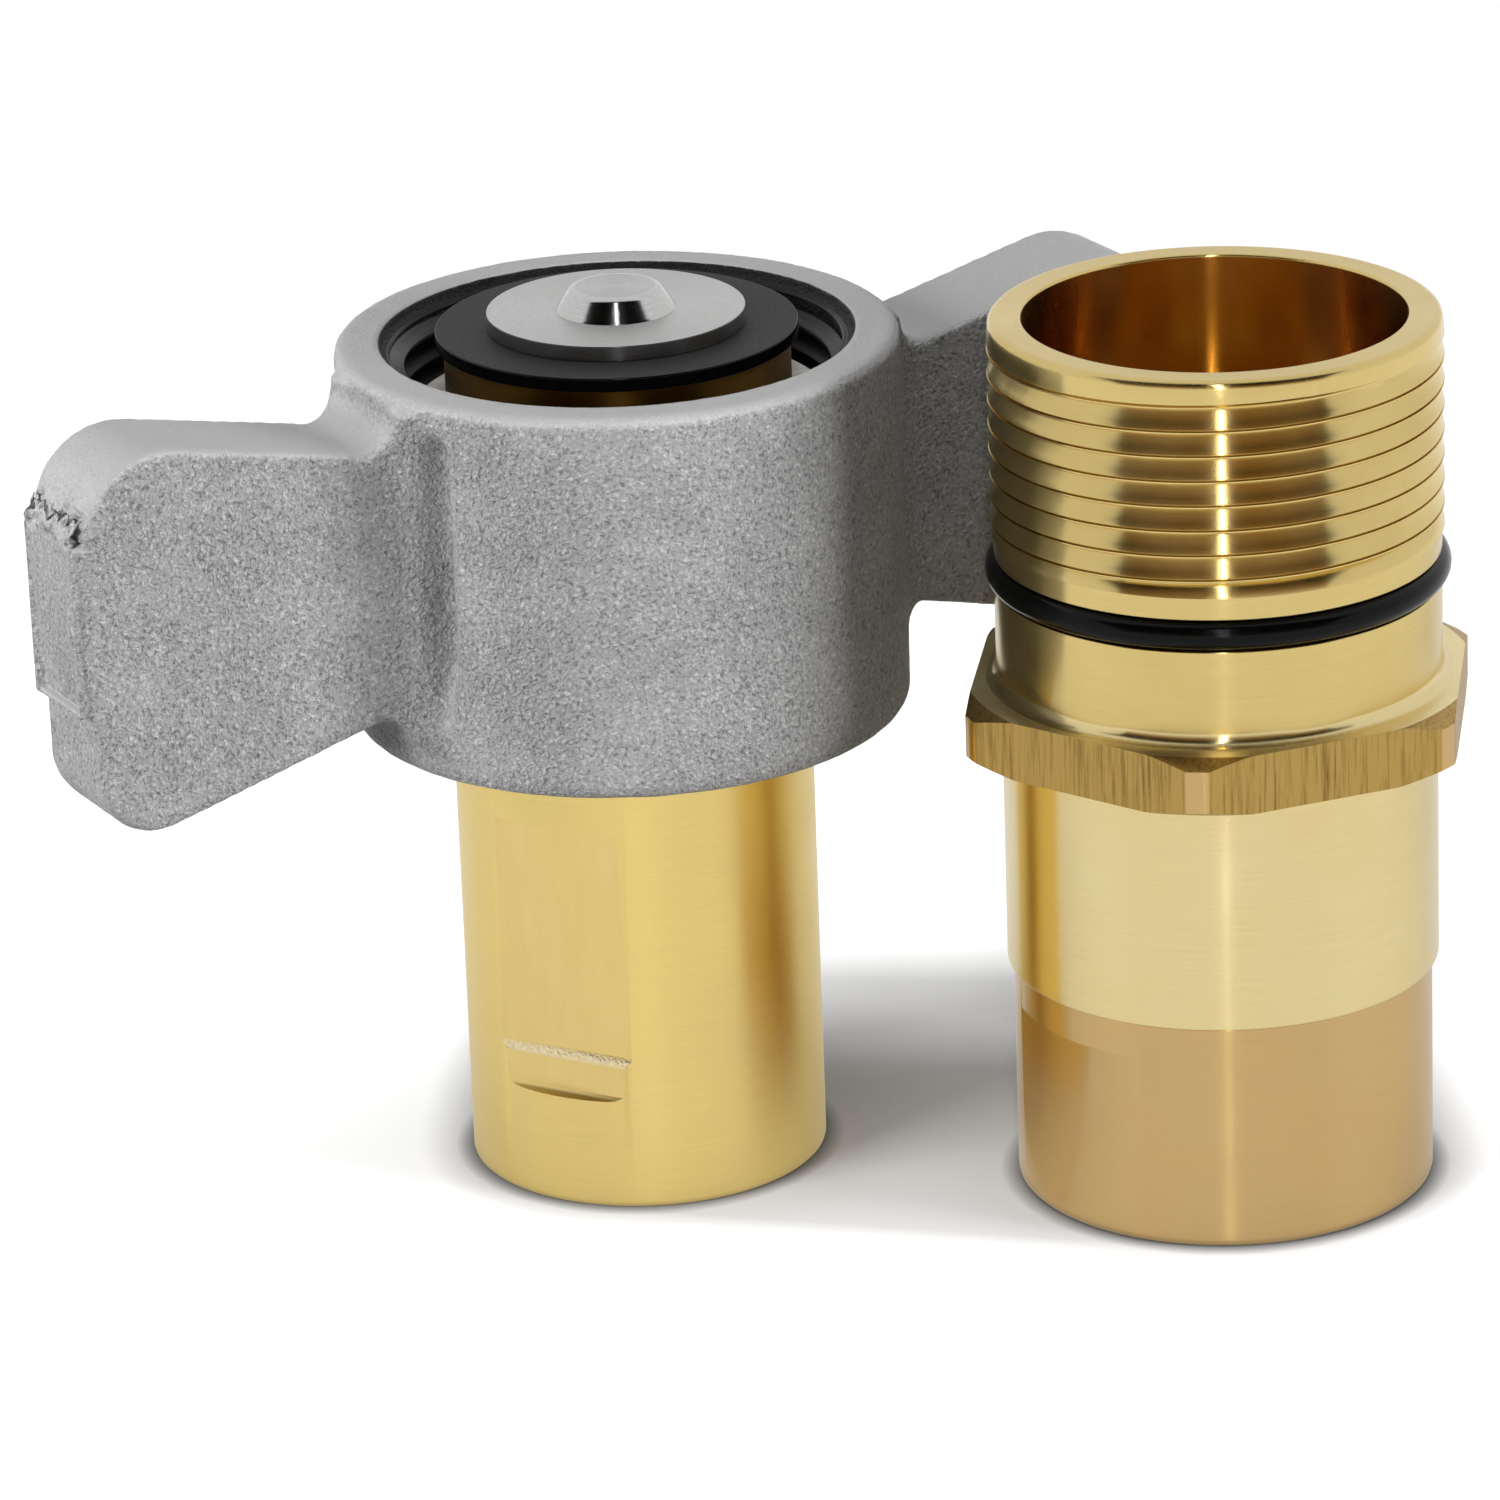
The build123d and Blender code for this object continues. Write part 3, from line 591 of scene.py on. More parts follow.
def cutPockets(piece, axis, turn, profile, finish):
    # one pocket on each side of the piece
    for side in (0, 180):
        cutter = pocketCutter(axis, turn + side, profile, finish)
        modifier = piece.modifiers.new("cut", "BOOLEAN")
        modifier.object = cutter
        modifier.operation = "DIFFERENCE"
        modifier.solver = "EXACT"
        applyModifiers(piece)
        bpy.data.objects.remove(cutter)
    smoothShading(piece.data)


nutHalfTube = turnedPiece("nutHalfTube", nutHalfAxis, tubeOutline, [tubeBrass, milledBrass])
cutPockets(nutHalfTube, nutHalfAxis, tube["pocketTurn"], tubePocket(), milledBrass)
dress(nutHalfTube, "female_half", "female_body", slot="brass_satin")
print("tube made")


# Head of the fixed stem: washer, disc and the raised boss in its middle
head = {
    "washer": 22.87, "washerLow": 109.6, "washerTop": 111.4, "disc": 16.3, "discTop": 113.4,
    "boss": 7.6, "bossTop": 116.2, "bossFace": 5.6, "bolt": 5.0, "boltLow": 30, "rivetGap": 0.01,
}


def makeHead():
    h = head
    washer = plainTurned("sealWasher", nutHalfAxis, [
        (h["bolt"], h["washerLow"]), (h["washer"], h["washerLow"], 0.2),
        (h["washer"], h["washerTop"], 0.2), (h["bolt"], h["washerTop"])], [washerRubber, ringRubber],
        # the washer's edge is painted darker, as painted shade
        lambda radius, height: ringRubber if radius > h["washer"] - 0.1 else washerRubber)
    dress(washer, "female_half", "seal_washer", slot="black_rubber")
    disc = plainTurned("retainerDisc", nutHalfAxis, [
        (h["bolt"], h["washerTop"]), (h["disc"], h["washerTop"], 0.1),
        (h["disc"], h["discTop"], 0.12), (h["bolt"], h["discTop"])], [discSteel, discRimPaintedDark],
        # the rim takes the dark steel, a painted dark reflection
        lambda radius, height: discRimPaintedDark if radius > h["disc"] - 0.06 else discSteel)
    dress(disc, "female_half", "retainer_disc", slot="plain_steel")
    shank, seat = h["bolt"] - h["rivetGap"], h["discTop"] + h["rivetGap"]
    boss = plainTurned("headBoss", nutHalfAxis, [
        (0, h["boltLow"]), (shank, h["boltLow"]), (shank, seat), (h["boss"], seat),
        (h["boss"] - 0.12, h["discTop"] + 0.2, 0.3), (h["bossFace"], h["bossTop"], 0.9), (0, h["bossTop"])],
        [discSteel, bossSteel],
        lambda radius, height: bossSteel if radius > h["bossFace"] - 0.8 else discSteel)
    dress(boss, "female_half", "head_bolt", slot="plain_steel")


makeHead()

# Tubular valve: skirt, flange and nose in one piece, with the face seal on its flange
valve = {
    "bore": 15.2, "skirt": 18.52, "low": 66.0, "flange": 26.2, "flangeLow": 97.3, "flangeTop": 100.0,
    "nose": 21.85, "noseBore": 18.9, "noseTop": 109.6, "sealInner": 21.9, "sealTop": 101.2,
}


def makeValve():
    v = valve
    sleeve = plainTurned("valveSleeve", nutHalfAxis, [
        (v["bore"], v["low"]), (v["skirt"], v["low"], 0.4), (v["skirt"], v["flangeLow"]),
        (v["flange"], v["flangeLow"], 0.3), (v["flange"], v["flangeTop"]), (v["nose"], v["flangeTop"]),
        (v["nose"], v["noseTop"], 0.3), (v["noseBore"], v["noseTop"], 0.3), (v["noseBore"], v["flangeTop"]),
        (v["bore"], v["flangeTop"] + v["bore"] - v["noseBore"])], [shadeDarkSleeveBrass])
    dress(sleeve, "sleeve", "valve_sleeve", slot="brass_polished")
    seal = plainTurned("faceSeal", nutHalfAxis, [
        (v["sealInner"], v["flangeTop"]), (v["flange"], v["flangeTop"], 0.2),
        (v["flange"], v["sealTop"], 0.3), (v["sealInner"], v["sealTop"])], [paleSeal])
    dress(seal, "sleeve", "face_seal", slot="pale_seal")


makeValve()
print("valve head made")


# Wing nut: the casting is the CAD solid remeshed so that its blends flow, then
# roughened; the machined thread is a ring of its own
nut = {
    "voxel": 0.55, "smoothing": 2, "thread": (85.0, 108.5), "ringOuter": 29.0, "ringLip": 28.9,
    "outer": 35.7, "bore": 31, "reach": 77.8, "blastSpacing": 3.0, "blastDepth": 0.1,
    "rootGroove": 3.2, "rootTurn": 21.5, "rootSpan": (6.5, 46.5), "rootFades": (9, 3), "rootWidth": 1.7,
    "rootReach": 3, "bead": 0.3, "beadFrom": (42, 6, 20), "beadLean": 0.72, "beadWidth": 0.25,
    "gateLow": 16.2, "gateTop": 42.1, "gateTaper": 1.5, "gateTear": 1.8, "tearBand": 3.5, "tearSize": 1.3,
    "chipDepth": 1.6, "chipSlope": 0.65, "chipBand": 2.5,
}
nutThread = {
    "pitch": 3.175, "crest": 28.62, "root": 26.9, "fadeLow": 1.5, "fadeHigh": 1.2,
    "shape": [(0, 0), (0.08, 0), (0.42, 1), (0.54, 1), (0.88, 0)],
}


def remeshed(name, source):
    mesh = source.data.copy()
    work = bmesh.new()
    work.from_mesh(mesh)
    bmesh.ops.remove_doubles(work, verts=work.verts, dist=1e-6)
    work.to_mesh(mesh)
    work.free()
    piece = bpy.data.objects.new(name, mesh)
    bpy.context.collection.objects.link(piece)
    remesh = piece.modifiers.new("remesh", "REMESH")
    remesh.mode = "VOXEL"
    remesh.voxel_size = nut["voxel"] * 1 * mm
    smooth = piece.modifiers.new("smooth", "SMOOTH")
    smooth.factor = 0.5
    smooth.iterations = nut["smoothing"]
    applyModifiers(piece)
    return piece


def bell(distance, width):
    return exp(-(distance / width) ** 2)


def castingDepth(spot, normal, foot):
    # how far in the skin lies at a point, all in millimetres: blasting all over, a groove
    # where each wing's root meets the hub, a bead along the wings' edges, and a torn edge
    # at the broken gate, which thins out downwards
    wave = noise.fractal(spot / nut["blastSpacing"], 0.8, 2.1, 3)
    depth = nut["blastDepth"] * min(1, max(0, 0.5 + 0.5 * wave))
    radius = Vector((spot.x, spot.y)).length
    out, side, height = abs(spot.x), abs(spot.y), spot.z - foot
    if radius < nut["bore"]:
        return 0
    (low, high), (fadeLow, fadeHigh) = nut["rootSpan"], nut["rootFades"]
    window = min(1, max(0, (height - low) / fadeLow)) * min(1, max(0, (high - height) / fadeHigh))
    fromRoot = (atan2(side, out) - radians(nut["rootTurn"])) * radius
    groove = bell(fromRoot, nut["rootWidth"]) * bell(radius - nut["outer"], nut["rootReach"])
    depth += nut["rootGroove"] * window * groove
    if all(value > least for value, least in zip((out, side, height), nut["beadFrom"])):
        depth -= nut["bead"] * bell(abs(normal.y) - nut["beadLean"], nut["beadWidth"])
    if out > nut["reach"] + 0.2:
        share = (height - nut["gateLow"]) / (nut["gateTop"] - nut["gateLow"])
        depth += nut["gateTaper"] * min(1, max(0, 1 - share)) * normal.x ** 2
    if out > nut["reach"] - 0.6 and height > nut["gateTop"] - nut["tearBand"]:
        tear = noise.fractal(spot / nut["tearSize"], 0.9, 2.2, 2)
        depth += nut["gateTear"] * min(1, max(0, 0.3 + 1.6 * tear))
    return depth


def roughCast(piece, foot):
    # pushes the skin in, so that it stays in its box
    normals = [vertex.normal.copy() for vertex in piece.data.vertices]
    for vertex, normal in zip(piece.data.vertices, normals):
        vertex.co -= normal * castingDepth(vertex.co / mm, normal, foot) * mm
        # the gate's upper corner has broken off aslant
        above = max(0, vertex.co.z / mm - foot - nut["gateTop"] + nut["chipBand"])
        reach = (nut["reach"] + max(0, nut["chipDepth"] - nut["chipSlope"] * above)) * mm
        vertex.co.x = max(-reach, min(reach, vertex.co.x))


nutSolid = frame["nodes"]["wing_nut"]
nutFoot = min((nutSolid.matrix_world @ Vector(corner)).z for corner in nutSolid.bound_box)
nutCasting = remeshed("nutCasting", nutSolid)
roughCast(nutCasting, nutFoot / mm)
nutCasting.data.materials.clear()
nutCasting.data.materials.append(castIron)
for polygon in nutCasting.data.polygons:
    polygon.use_smooth = True
dress(nutCasting, "wing_nut", "wing_nut", slot="nut_grey")


def nutThreadOutline(angle):
    low, high = nut["thread"]
    inner = threadRun(angle, low, high, nutThread)
    top = high + 0.4
    return [(nut["ringOuter"], low), (nut["ringOuter"], top), (nut["ringLip"], top)] + inner[::-1]


# the thread ring's near-black steel is painted shade
nutThreadRing = turnedPiece("nutThreadRing", nutHalfAxis, nutThreadOutline, [shadedThreadIron])
dress(nutThreadRing, "wing_nut", slot="nut_grey")
print("wing nut made")


# Body of the threaded half
body = {
    "barrel": 27.45, "low": 29.8, "hexLow": 60.4, "hexTop": 68.0, "flats": 60.8, "corner": 34.3,
    "face": 32.0, "bevel": 1.1, "hexTurn": -127.1, "neck": 28.03, "foot": 1.4,
    "grooveLow": 80.2, "grooveTop": 84.2, "grooveFloor": 25.38, "threadLow": 87.2, "threadTop": 112.2,
    "rim": 28.1, "top": 114.8, "socket": 23.92, "land": 23.3, "landTop": 98.3, "landLow": 92.6,
    "inner": 24.0, "step": 50.3, "spigotHole": 24.6,
}
bodyThread = {
    "pitch": 3.175, "crest": 28.35, "root": 27.35, "fadeLow": 2.0, "fadeHigh": 0.8,
    "shape": [(0, 0), (0.05, 0), (0.075, 0.5), (0.12, 0.5), (0.145, 0.05), (0.19, 0.1), (0.35, 0.36),
              (0.6, 0.7), (0.8, 0.93), (0.86, 1), (0.9, 0.93), (0.96, 0.12)],
}


def hexRadius(angle):
    b = body
    turn = (degrees(angle) - b["hexTurn"] - 30) % 60
    turn = turn - 60 if turn > 30 else turn
    return min(b["flats"] / 2 / cos(radians(turn)), b["corner"])


def bodyOutline(angle):
    b = body
    side = hexRadius(angle)
    edge = min(side, b["face"])
    drop = b["bevel"] * max(0, side - b["face"]) / (b["corner"] - b["face"])
    outside = [
        (b["spigotHole"], b["low"]), (b["barrel"], b["low"], 0.35), (b["barrel"], b["hexLow"]),
        (edge, b["hexLow"]), (side, b["hexLow"] + drop), (side, b["hexTop"] - drop), (edge, b["hexTop"]),
        (b["neck"], b["hexTop"], b["foot"]), (b["neck"], b["grooveLow"], 0.2),
        (b["grooveFloor"], b["grooveLow"]), (b["grooveFloor"], b["grooveTop"]),
        (b["neck"], b["grooveTop"], 0.2), (b["neck"], b["threadLow"]),
    ]
    inside = [
        (b["rim"], b["top"], 0.9), (b["socket"], b["top"], 0.35), (b["socket"], b["landTop"]),
        (b["land"], b["landTop"], 0.3), (b["land"], b["landLow"]), (b["inner"], b["landLow"]),
        (b["inner"], b["step"]), (b["spigotHole"], b["step"]),
    ]
    return roundCorners(outside + threadRun(angle, b["threadLow"], b["threadTop"], bodyThread) + inside)


def bodyMaterial(radius, height):
    # the bar's turned corners, between the hexagon's sides, are as smooth as the adapter
    b = body
    if radius > b["flats"] / 2 - 0.01 and b["hexLow"] + 0.02 < height < b["hexTop"] - 0.02:
        return adapterBrass if radius > b["corner"] - 0.1 else hexBrass
    if radius > b["neck"] + b["foot"] and b["hexTop"] - 1.5 < height < b["hexTop"] + 0.1:
        return facedBrass
    # the socket's wall takes the brass painted darker as painted shade
    if radius < b["socket"] + 0.02 and height < b["top"] - 0.3:
        return paintedAmberBoreBrass
    return threadBrass if height > b["hexTop"] + b["foot"] + 0.1 else bodyBrass


stripHalf = 30 - degrees(acos(body["flats"] / 2 / body["corner"]))
hexColumns = [body["hexTurn"] + 60 * k + s * stripHalf for k in range(6) for s in (-1, 0, 1)]
bodyFinishes = [bodyBrass, hexBrass, threadBrass, paintedAmberBoreBrass, adapterBrass, facedBrass]
threadedBody = turnedPiece("threadedBody", threadedHalfAxis, bodyOutline, bodyFinishes, bodyMaterial,
                           evenColumns(extra=hexColumns))
dress(threadedBody, "male_half", "male_body", slot="brass_polished")

# Black ring in the neck's groove
dust = {"radius": 27.28, "height": 82.2, "half": 1.9, "sides": 24}
dustSection = [2 * pi * side / dust["sides"] for side in range(dust["sides"])]
dustRing = plainTurned("dustRing", threadedHalfAxis, [
    (dust["radius"] + dust["half"] * cos(a), dust["height"] + dust["half"] * sin(a)) for a in dustSection],
    [ringRubber])
dress(dustRing, "male_half", "dust_ring", slot="black_rubber")
print("threaded body made")


# Port adapter below it, with two wrench pockets
adapter = {
    "outer": 26.6, "length": 29.8, "flat": 24.0, "flatLow": 14.5, "flatTop": 25.0, "runOut": 35.0,
    "flatTurn": -171.4, "bore": 19.0,
    "spigot": 24.55, "spigotTop": 45.3, "port": 14.7, "portDepth": 24.0, "mouth": 16.9, "lead": 2.2,
}


def adapterOutline(angle):
    a = adapter
    port = threadRun(angle, a["lead"], a["portDepth"] - 1, pipeThread)
    return roundCorners([
        (a["mouth"], 0), (a["outer"], 0, 0.9), (a["outer"], a["length"], 0.3),
        (a["spigot"], a["length"]), (a["spigot"], a["spigotTop"], 0.3), (a["bore"], a["spigotTop"]),
        (a["bore"], a["portDepth"] + a["bore"] - a["port"]), (a["port"], a["portDepth"]),
    ] + port[::-1])


def adapterPocket():
    # square at its top, and fading out slowly below
    a = adapter
    far = a["outer"] + 1
    profile = [(far, a["flatTop"]), (a["flat"], a["flatTop"]), (a["flat"], a["flatLow"])]
    widest = acos(1 - (far - a["flat"]) / a["runOut"])
    steps = 12
    for step in range(1, steps + 1):
        swing = widest * step / steps
        profile.append((a["flat"] + a["runOut"] * (1 - cos(swing)), a["flatLow"] - a["runOut"] * sin(swing)))
    return profile


portAdapter = turnedPiece("portAdapter", threadedHalfAxis, adapterOutline, [adapterBrass])
cutPockets(portAdapter, threadedHalfAxis, adapter["flatTurn"], adapterPocket(), adapterBrass)
dress(portAdapter, "male_half", "port_adapter", slot="brass_rose")
print("adapter made")


# Springs of round wire
springs = {"wire": 2.6, "sides": 12, "perTurn": 36, "sleeveTurns": 5.5, "poppetTurns": 6.5}


def coiledSpring(name, axis, node, turns, finish):
    low, high = (Vector(corner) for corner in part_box(node))
    half = springs["wire"] / 2 * mm
    reach = (high.x - low.x) / 2 - half
    steps, sides = round(turns * springs["perTurn"]), springs["sides"]
    points, faces = [], []
    for step in range(steps + 1):
        angle = 2 * pi * turns * step / steps
        outward = Vector((cos(angle), sin(angle), 0))
        height = low.z + half + (high.z - low.z - 2 * half) * step / steps
        centre = Vector((axis.x, axis.y, height)) + outward * reach
        for side in range(sides):
            swing = 2 * pi * side / sides
            points.append(centre + (outward * cos(swing) + Vector((0, 0, 1)) * sin(swing)) * half)
    for step in range(steps):
        for side in range(sides):
            here, across = step * sides + side, step * sides + (side + 1) % sides
            faces.append((here, across, across + sides, here + sides))
    faces.append(tuple(range(sides)))
    faces.append(tuple(range(steps * sides, (steps + 1) * sides)))
    mesh = bpy.data.meshes.new(name)
    mesh.from_pydata(points, [], faces)
    return finishMesh(name, mesh, [finish])


def shortenWith(spring):
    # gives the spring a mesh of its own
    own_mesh(spring)


sleeveCoil = coiledSpring("sleeveCoil", nutHalfAxis, "sleeve_spring", springs["sleeveTurns"], springSteel)
dress(sleeveCoil, "female_half", "sleeve_spring", slot="spring_steel")
shortenWith(sleeveCoil)
poppetCoil = coiledSpring("poppetCoil", threadedHalfAxis, "poppet_spring", springs["poppetTurns"],
                          innerSpring)
dress(poppetCoil, "male_half", "poppet_spring", slot="spring_steel")
shortenWith(poppetCoil)
print("springs made")


# CAD nodes that keep their shape get their finish here
nodeFinish = {
    "thrust_ring": discSteel, "nut_clip": springSteel, "spider_clip": springSteel, "flow_spider": tubeBrass,
    # the backing plate takes the sleeve's brass, painted dark as painted shade
    "stem_spacer": tubeBrass, "backing_plate": shadeDarkSleeveBrass, "sleeve_ring": ringRubber,
    "adapter_ring": ringRubber, "guide_spider": adapterBrass, "poppet": bodyBrass,
    "poppet_stem": innerSteel, "poppet_ring": ringRubber,
}
for node, finish in nodeFinish.items():
    for place in frame["nodes"][node].material_slots:
        place.material = finish
print("inner pieces finished")


# Stage: a white floor that keeps shadows, white surroundings, a card and soft lamps.
# Lengths in it are metres, apart from those that are named with Mm.
stage = {
    "floorSize": 8, "floorColour": "#e8e8e8", "thrownBack": 0.4, "mirrorWhite": 0.4, "fade": (0.16, 0.42),
    "lift": 0.5, "leastLift": 0.08, "liftFromMm": 0.3, "liftToMm": 7.0, "backPull": 0.6,
    # the contact sizes and shade set the painted contact shadow on the floor
    "contactMm": 2.4, "contactUnderMm": 0.5, "paintedContactShadow": 0.2,
    "ambient": 0.02, "reflected": 0.85, "aim": (0.03, -0.02, 0.06),
}


def floorGlowPaintedShadow(tree, place):
    # a glow on the paper, held back under the two halves and between them, so that its outline paints where
    # the floor's shadow shows
    middle = (nutHalfAxis + threadedHalfAxis) / 2
    along = threadedHalfAxis - nutHalfAxis
    half, line = along.length / 2, tuple(along.normalized())
    fromMiddle = addNode(tree, "VectorMath", {0: place, 1: tuple(middle)}, operation="SUBTRACT")
    run = addNode(tree, "VectorMath", {0: fromMiddle, 1: line}, operation="DOT_PRODUCT")
    held = addNode(tree, "Clamp", {"Value": run.outputs["Value"], "Min": -half, "Max": half})
    onLine = addNode(tree, "VectorMath", {0: line, "Scale": held}, operation="SCALE")
    fromLine = addNode(tree, "VectorMath", {0: fromMiddle, 1: onLine}, operation="SUBTRACT")
    # the painted shadow reaches further to the back, so distance counts less there
    backward = Vector((forward.x, forward.y, 0)).normalized()
    behind = addNode(tree, "VectorMath", {0: fromLine, 1: tuple(backward)}, operation="DOT_PRODUCT")
    behind = addNode(tree, "Math", {0: behind.outputs["Value"], 1: 0}, operation="MAXIMUM")
    pull = tuple(backward * -stage["backPull"])
    pulled = addNode(tree, "VectorMath", {0: pull, "Scale": behind}, operation="SCALE")
    drawn = addNode(tree, "VectorMath", {0: fromLine, 1: pulled}, operation="ADD")
    nearest = addNode(tree, "VectorMath", {0: drawn}, operation="LENGTH")
    halfWidth = addNode(tree, "MapRange", {
        "Value": held, "From Min": -half, "From Max": half,
        "To Min": tube["outer"] * mm, "To Max": adapter["outer"] * mm})
    gap = addNode(tree, "Math", {0: nearest.outputs["Value"], 1: halfWidth}, operation="SUBTRACT")
    return addNode(tree, "MapRange", {
        "Value": gap, "From Min": stage["liftFromMm"] * mm, "From Max": stage["liftToMm"] * mm,
        "To Min": stage["leastLift"], "To Max": stage["lift"]})


def paintedContactShadow(tree):
    # a painted contact shadow: a thin dark line where each half stands, which goes when that half is lifted
    edges = []
    stands = (nutHalfTube, nutHalfAxis, tube["outer"]), (portAdapter, threadedHalfAxis, adapter["outer"])
    for piece, axis, radius in stands:
        own = addNode(tree, "TexCoord", object=piece).outputs["Object"]
        away = addNode(tree, "VectorMath", {0: own, 1: tuple(axis)}, operation="DISTANCE").outputs["Value"]
        edges.append(addNode(tree, "Math", {0: away, 1: radius * mm}, operation="SUBTRACT"))
    edge = addNode(tree, "Math", {0: edges[0], 1: edges[1]}, operation="MINIMUM")
    return addNode(tree, "MapRange", {
        "Value": edge, "From Min": -stage["contactUnderMm"] * mm, "From Max": stage["contactMm"] * mm,
        "To Min": stage["paintedContactShadow"]})


def makeFloor():
    mesh = bpy.data.meshes.new("floor")
    half = stage["floorSize"] / 2
    corners = [(-half, -half, 0), (half, -half, 0), (half, half, 0), (-half, half, 0)]
    mesh.from_pydata(corners, [], [(0, 1, 2, 3)])
    floor = bpy.data.objects.new("floor", mesh)
    bpy.context.collection.objects.link(floor)
    material, tree = newMaterial("whiteFloor")
    place = addNode(tree, "TexCoord").outputs["Object"]
    rays = addNode(tree, "LightPath")
    fromCamera, fromMirror = rays.outputs["Is Camera Ray"], rays.outputs["Is Glossy Ray"]
    seen = addNode(tree, "Math", {0: fromCamera, 1: fromMirror}, operation="MAXIMUM")
    seen = addNode(tree, "Math", {0: seen, 1: rays.outputs["Is Transmission Ray"]}, operation="MAXIMUM")
    paintedShadow = paintedContactShadow(tree)
    # the floor's glow, held back near the halves, paints the shadow's outline
    lit = addNode(tree, "Math", {0: fromCamera, 1: floorGlowPaintedShadow(tree, place)}, operation="MULTIPLY")
    lift = addNode(tree, "Math", {0: lit, 1: paintedShadow}, operation="MULTIPLY")
    # light thrown back up by the floor is kept low, so that the lamps draw the forms
    share = addNode(tree, "MapRange", {"Value": seen, "To Min": stage["thrownBack"]})
    # the painted contact shadow darkens the paper as well
    share = addNode(tree, "Math", {0: share, 1: paintedShadow}, operation="MULTIPLY")
    white = hexColour(stage["floorColour"])[:3]
    paper = addNode(tree, "VectorMath", {0: white, "Scale": share}, operation="SCALE")
    paint = addNode(tree, "BsdfDiffuse", {"Color": paper})
    glow = addNode(tree, "Emission", {"Strength": lift, "Color": grey(1)})
    both = addNode(tree, "AddShader", {0: paint, 1: glow})
    # far from the coupler the floor turns into the white of the surroundings
    reach = addNode(tree, "VectorMath", {0: place}, operation="LENGTH")
    fade = addNode(tree, "MapRange", {
        "Value": reach.outputs["Value"], "From Min": stage["fade"][0], "From Max": stage["fade"][1]})
    far = addNode(tree, "Math", {0: fade, 1: seen}, operation="MULTIPLY")
    # polished metal sees the paper whiter than its shadows leave it
    mirror = addNode(tree, "Math", {0: fromMirror, 1: stage["mirrorWhite"]}, operation="MULTIPLY")
    far = addNode(tree, "Math", {0: far, 1: mirror}, operation="MAXIMUM")
    bright = addNode(tree, "Emission", {"Color": grey(1), "Strength": 1})
    mix = addNode(tree, "MixShader", {0: far, 1: both, 2: bright})
    addNode(tree, "OutputMaterial", {"Surface": mix})
    mesh.materials.append(material)


def makeSurroundings():
    # white behind the floor and in polished metal, and dim for everything else, so that
    # the lamps draw the forms
    world = bpy.data.worlds.new("whiteStudio")
    world.use_nodes = True
    tree = world.node_tree
    tree.nodes.clear()
    rays = addNode(tree, "LightPath")
    direct = addNode(tree, "Math", {0: rays.outputs["Diffuse Depth"], 1: 0.5}, operation="LESS_THAN")
    seen = addNode(tree, "Math", {
        0: rays.outputs["Is Glossy Ray"], 1: rays.outputs["Is Transmission Ray"]}, operation="MAXIMUM")
    seen = addNode(tree, "Math", {0: seen, 1: direct}, operation="MULTIPLY")
    dim = addNode(tree, "MapRange", {
        "Value": seen, "To Min": stage["ambient"], "To Max": stage["reflected"]})
    strength = addNode(tree, "Math", {0: rays.outputs["Is Camera Ray"], 1: dim}, operation="MAXIMUM")
    sky = addNode(tree, "Background", {"Strength": strength, "Color": grey(1)})
    addNode(tree, "OutputWorld", {"Surface": sky})
    bpy.context.scene.world = world


def around(bearing, height, distance):
    # bearing: degrees to the right of the camera's own side, seen from the coupler
    turn, height = radians(camera["heading"] + 180 - bearing), radians(height)
    aim = Vector(stage["aim"])
    away = Vector((sin(turn) * cos(height), cos(turn) * cos(height), sin(height)))
    return aim, aim + away * distance


# A card bent from the front to overhead, which only polished metal sees, so that it paints
# reflections: black above, and a brown glow below, a painted brown reflection that warms the middle of the
# thread
darkCard = {
    "halfWidth": 50, "low": 12, "high": 74, "distance": 2.8, "steps": 12,
    "reflectedBrownGlow": (0.24, 0.115, 0.01), "brownTop": 1.0, "brownBlend": 0.15,
}


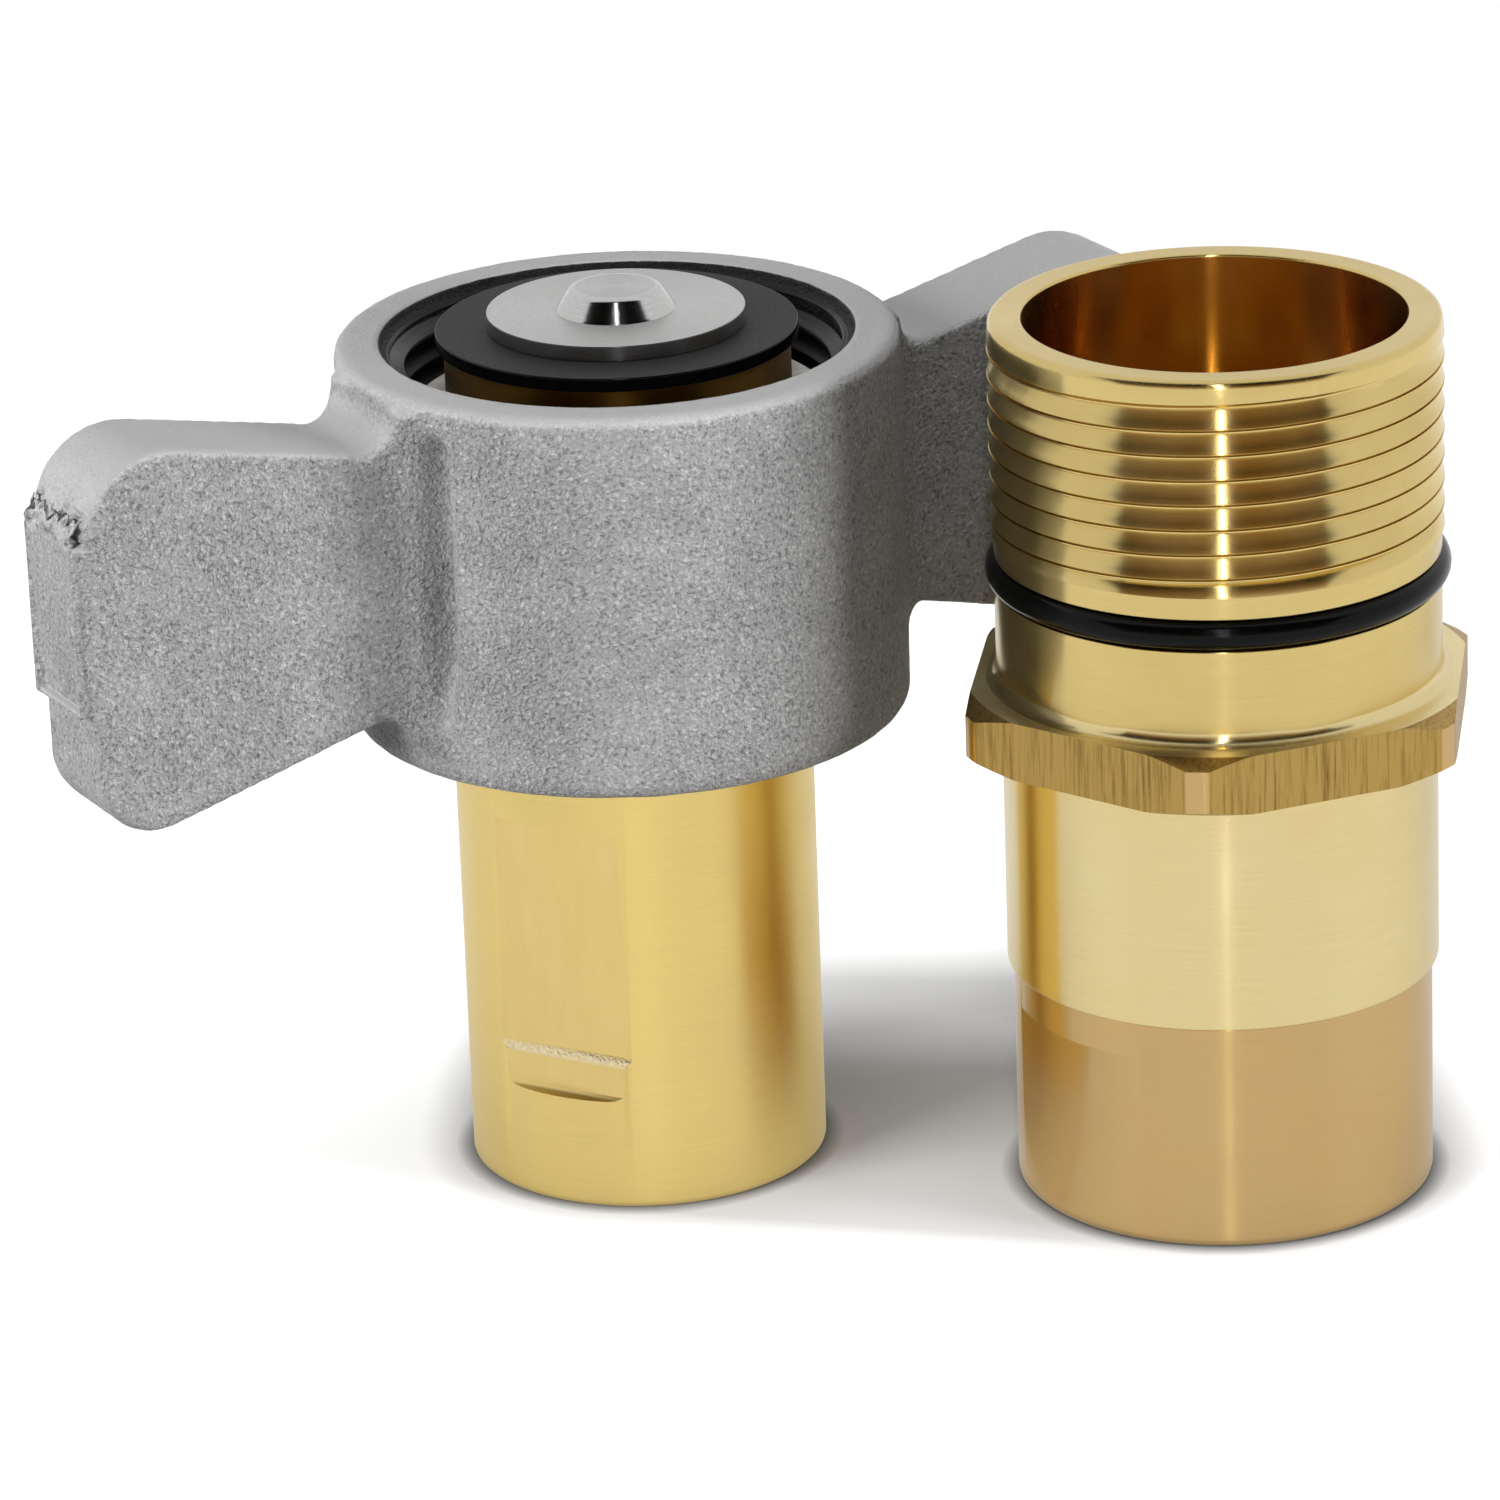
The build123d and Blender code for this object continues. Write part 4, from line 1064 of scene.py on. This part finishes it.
def makeCard():
    low, high, distance = radians(darkCard["low"]), radians(darkCard["high"]), darkCard["distance"]
    steps, halfWidth = darkCard["steps"], radians(darkCard["halfWidth"])
    aim, ahead = around(0, 0, distance)
    ahead -= aim
    points = []
    for i in range(steps + 1):
        height = low + (high - low) * i / steps
        middle = ahead * cos(height) + Vector((0, 0, sin(height))) * distance
        for side in (-1, 1):
            points.append(aim + middle * cos(halfWidth) + level * side * sin(halfWidth) * distance)
    faces = [(2 * i, 2 * i + 1, 2 * i + 3, 2 * i + 2) for i in range(steps)]
    mesh = bpy.data.meshes.new("darkCard")
    mesh.from_pydata(points, [], faces)
    card = bpy.data.objects.new("darkCard", mesh)
    material, tree = newMaterial("blackCardWithBrownGlow")
    split = addNode(tree, "SeparateXYZ", {0: addNode(tree, "TexCoord").outputs["Object"]})
    top, blend = darkCard["brownTop"], darkCard["brownBlend"]
    lower = addNode(tree, "MapRange", {
        "Value": split.outputs["Z"], "From Min": top + blend, "From Max": top - blend})
    # the brown glow is only ever seen as a painted reflection
    reflectedBrownGlow = addNode(tree, "Emission", {"Strength": lower, "Color": (*darkCard["reflectedBrownGlow"], 1)})
    addNode(tree, "OutputMaterial", {"Surface": reflectedBrownGlow})
    mesh.materials.append(material)
    bpy.context.collection.objects.link(card)
    card.visible_camera = False
    card.visible_diffuse = False
    card.visible_shadow = False


# Lamps: where each stands round the coupler, in degrees and metres, its size and its
# watts. Only the strip is mirrored, as the upright line of light on the brass.
lamps = {
    "leftSoft": {"bearing": -58, "height": 16, "distance": 1.3, "size": (0.7, 0.7), "power": 17},
    "rightSoft": {"bearing": 70, "height": 8, "distance": 1.3, "size": (0.46, 0.3), "power": 21},
    "topSoft": {"bearing": 0, "height": 86, "distance": 1.4, "size": (1.0, 1.0), "power": 11.5},
    "cameraStrip": {"bearing": 0, "height": 30, "distance": 1.35, "size": (0.022, 1.5), "power": 2.3,
                    "mirrored": True},
}


def softLamp(name, bearing, height, distance, size, power, mirrored=False):
    aim, place = around(bearing, height, distance)
    data = bpy.data.lights.new(name, "AREA")
    data.shape = "RECTANGLE"
    data.size, data.size_y = size
    data.energy = power
    lamp = bpy.data.objects.new(name, data)
    lamp.location = place
    lamp.rotation_euler = (aim - place).to_track_quat("-Z", "Y").to_euler()
    lamp.visible_glossy = mirrored
    bpy.context.collection.objects.link(lamp)


makeFloor()
makeSurroundings()
makeCard()
for name, settings in lamps.items():
    softLamp(name, **settings)
print("stage set")
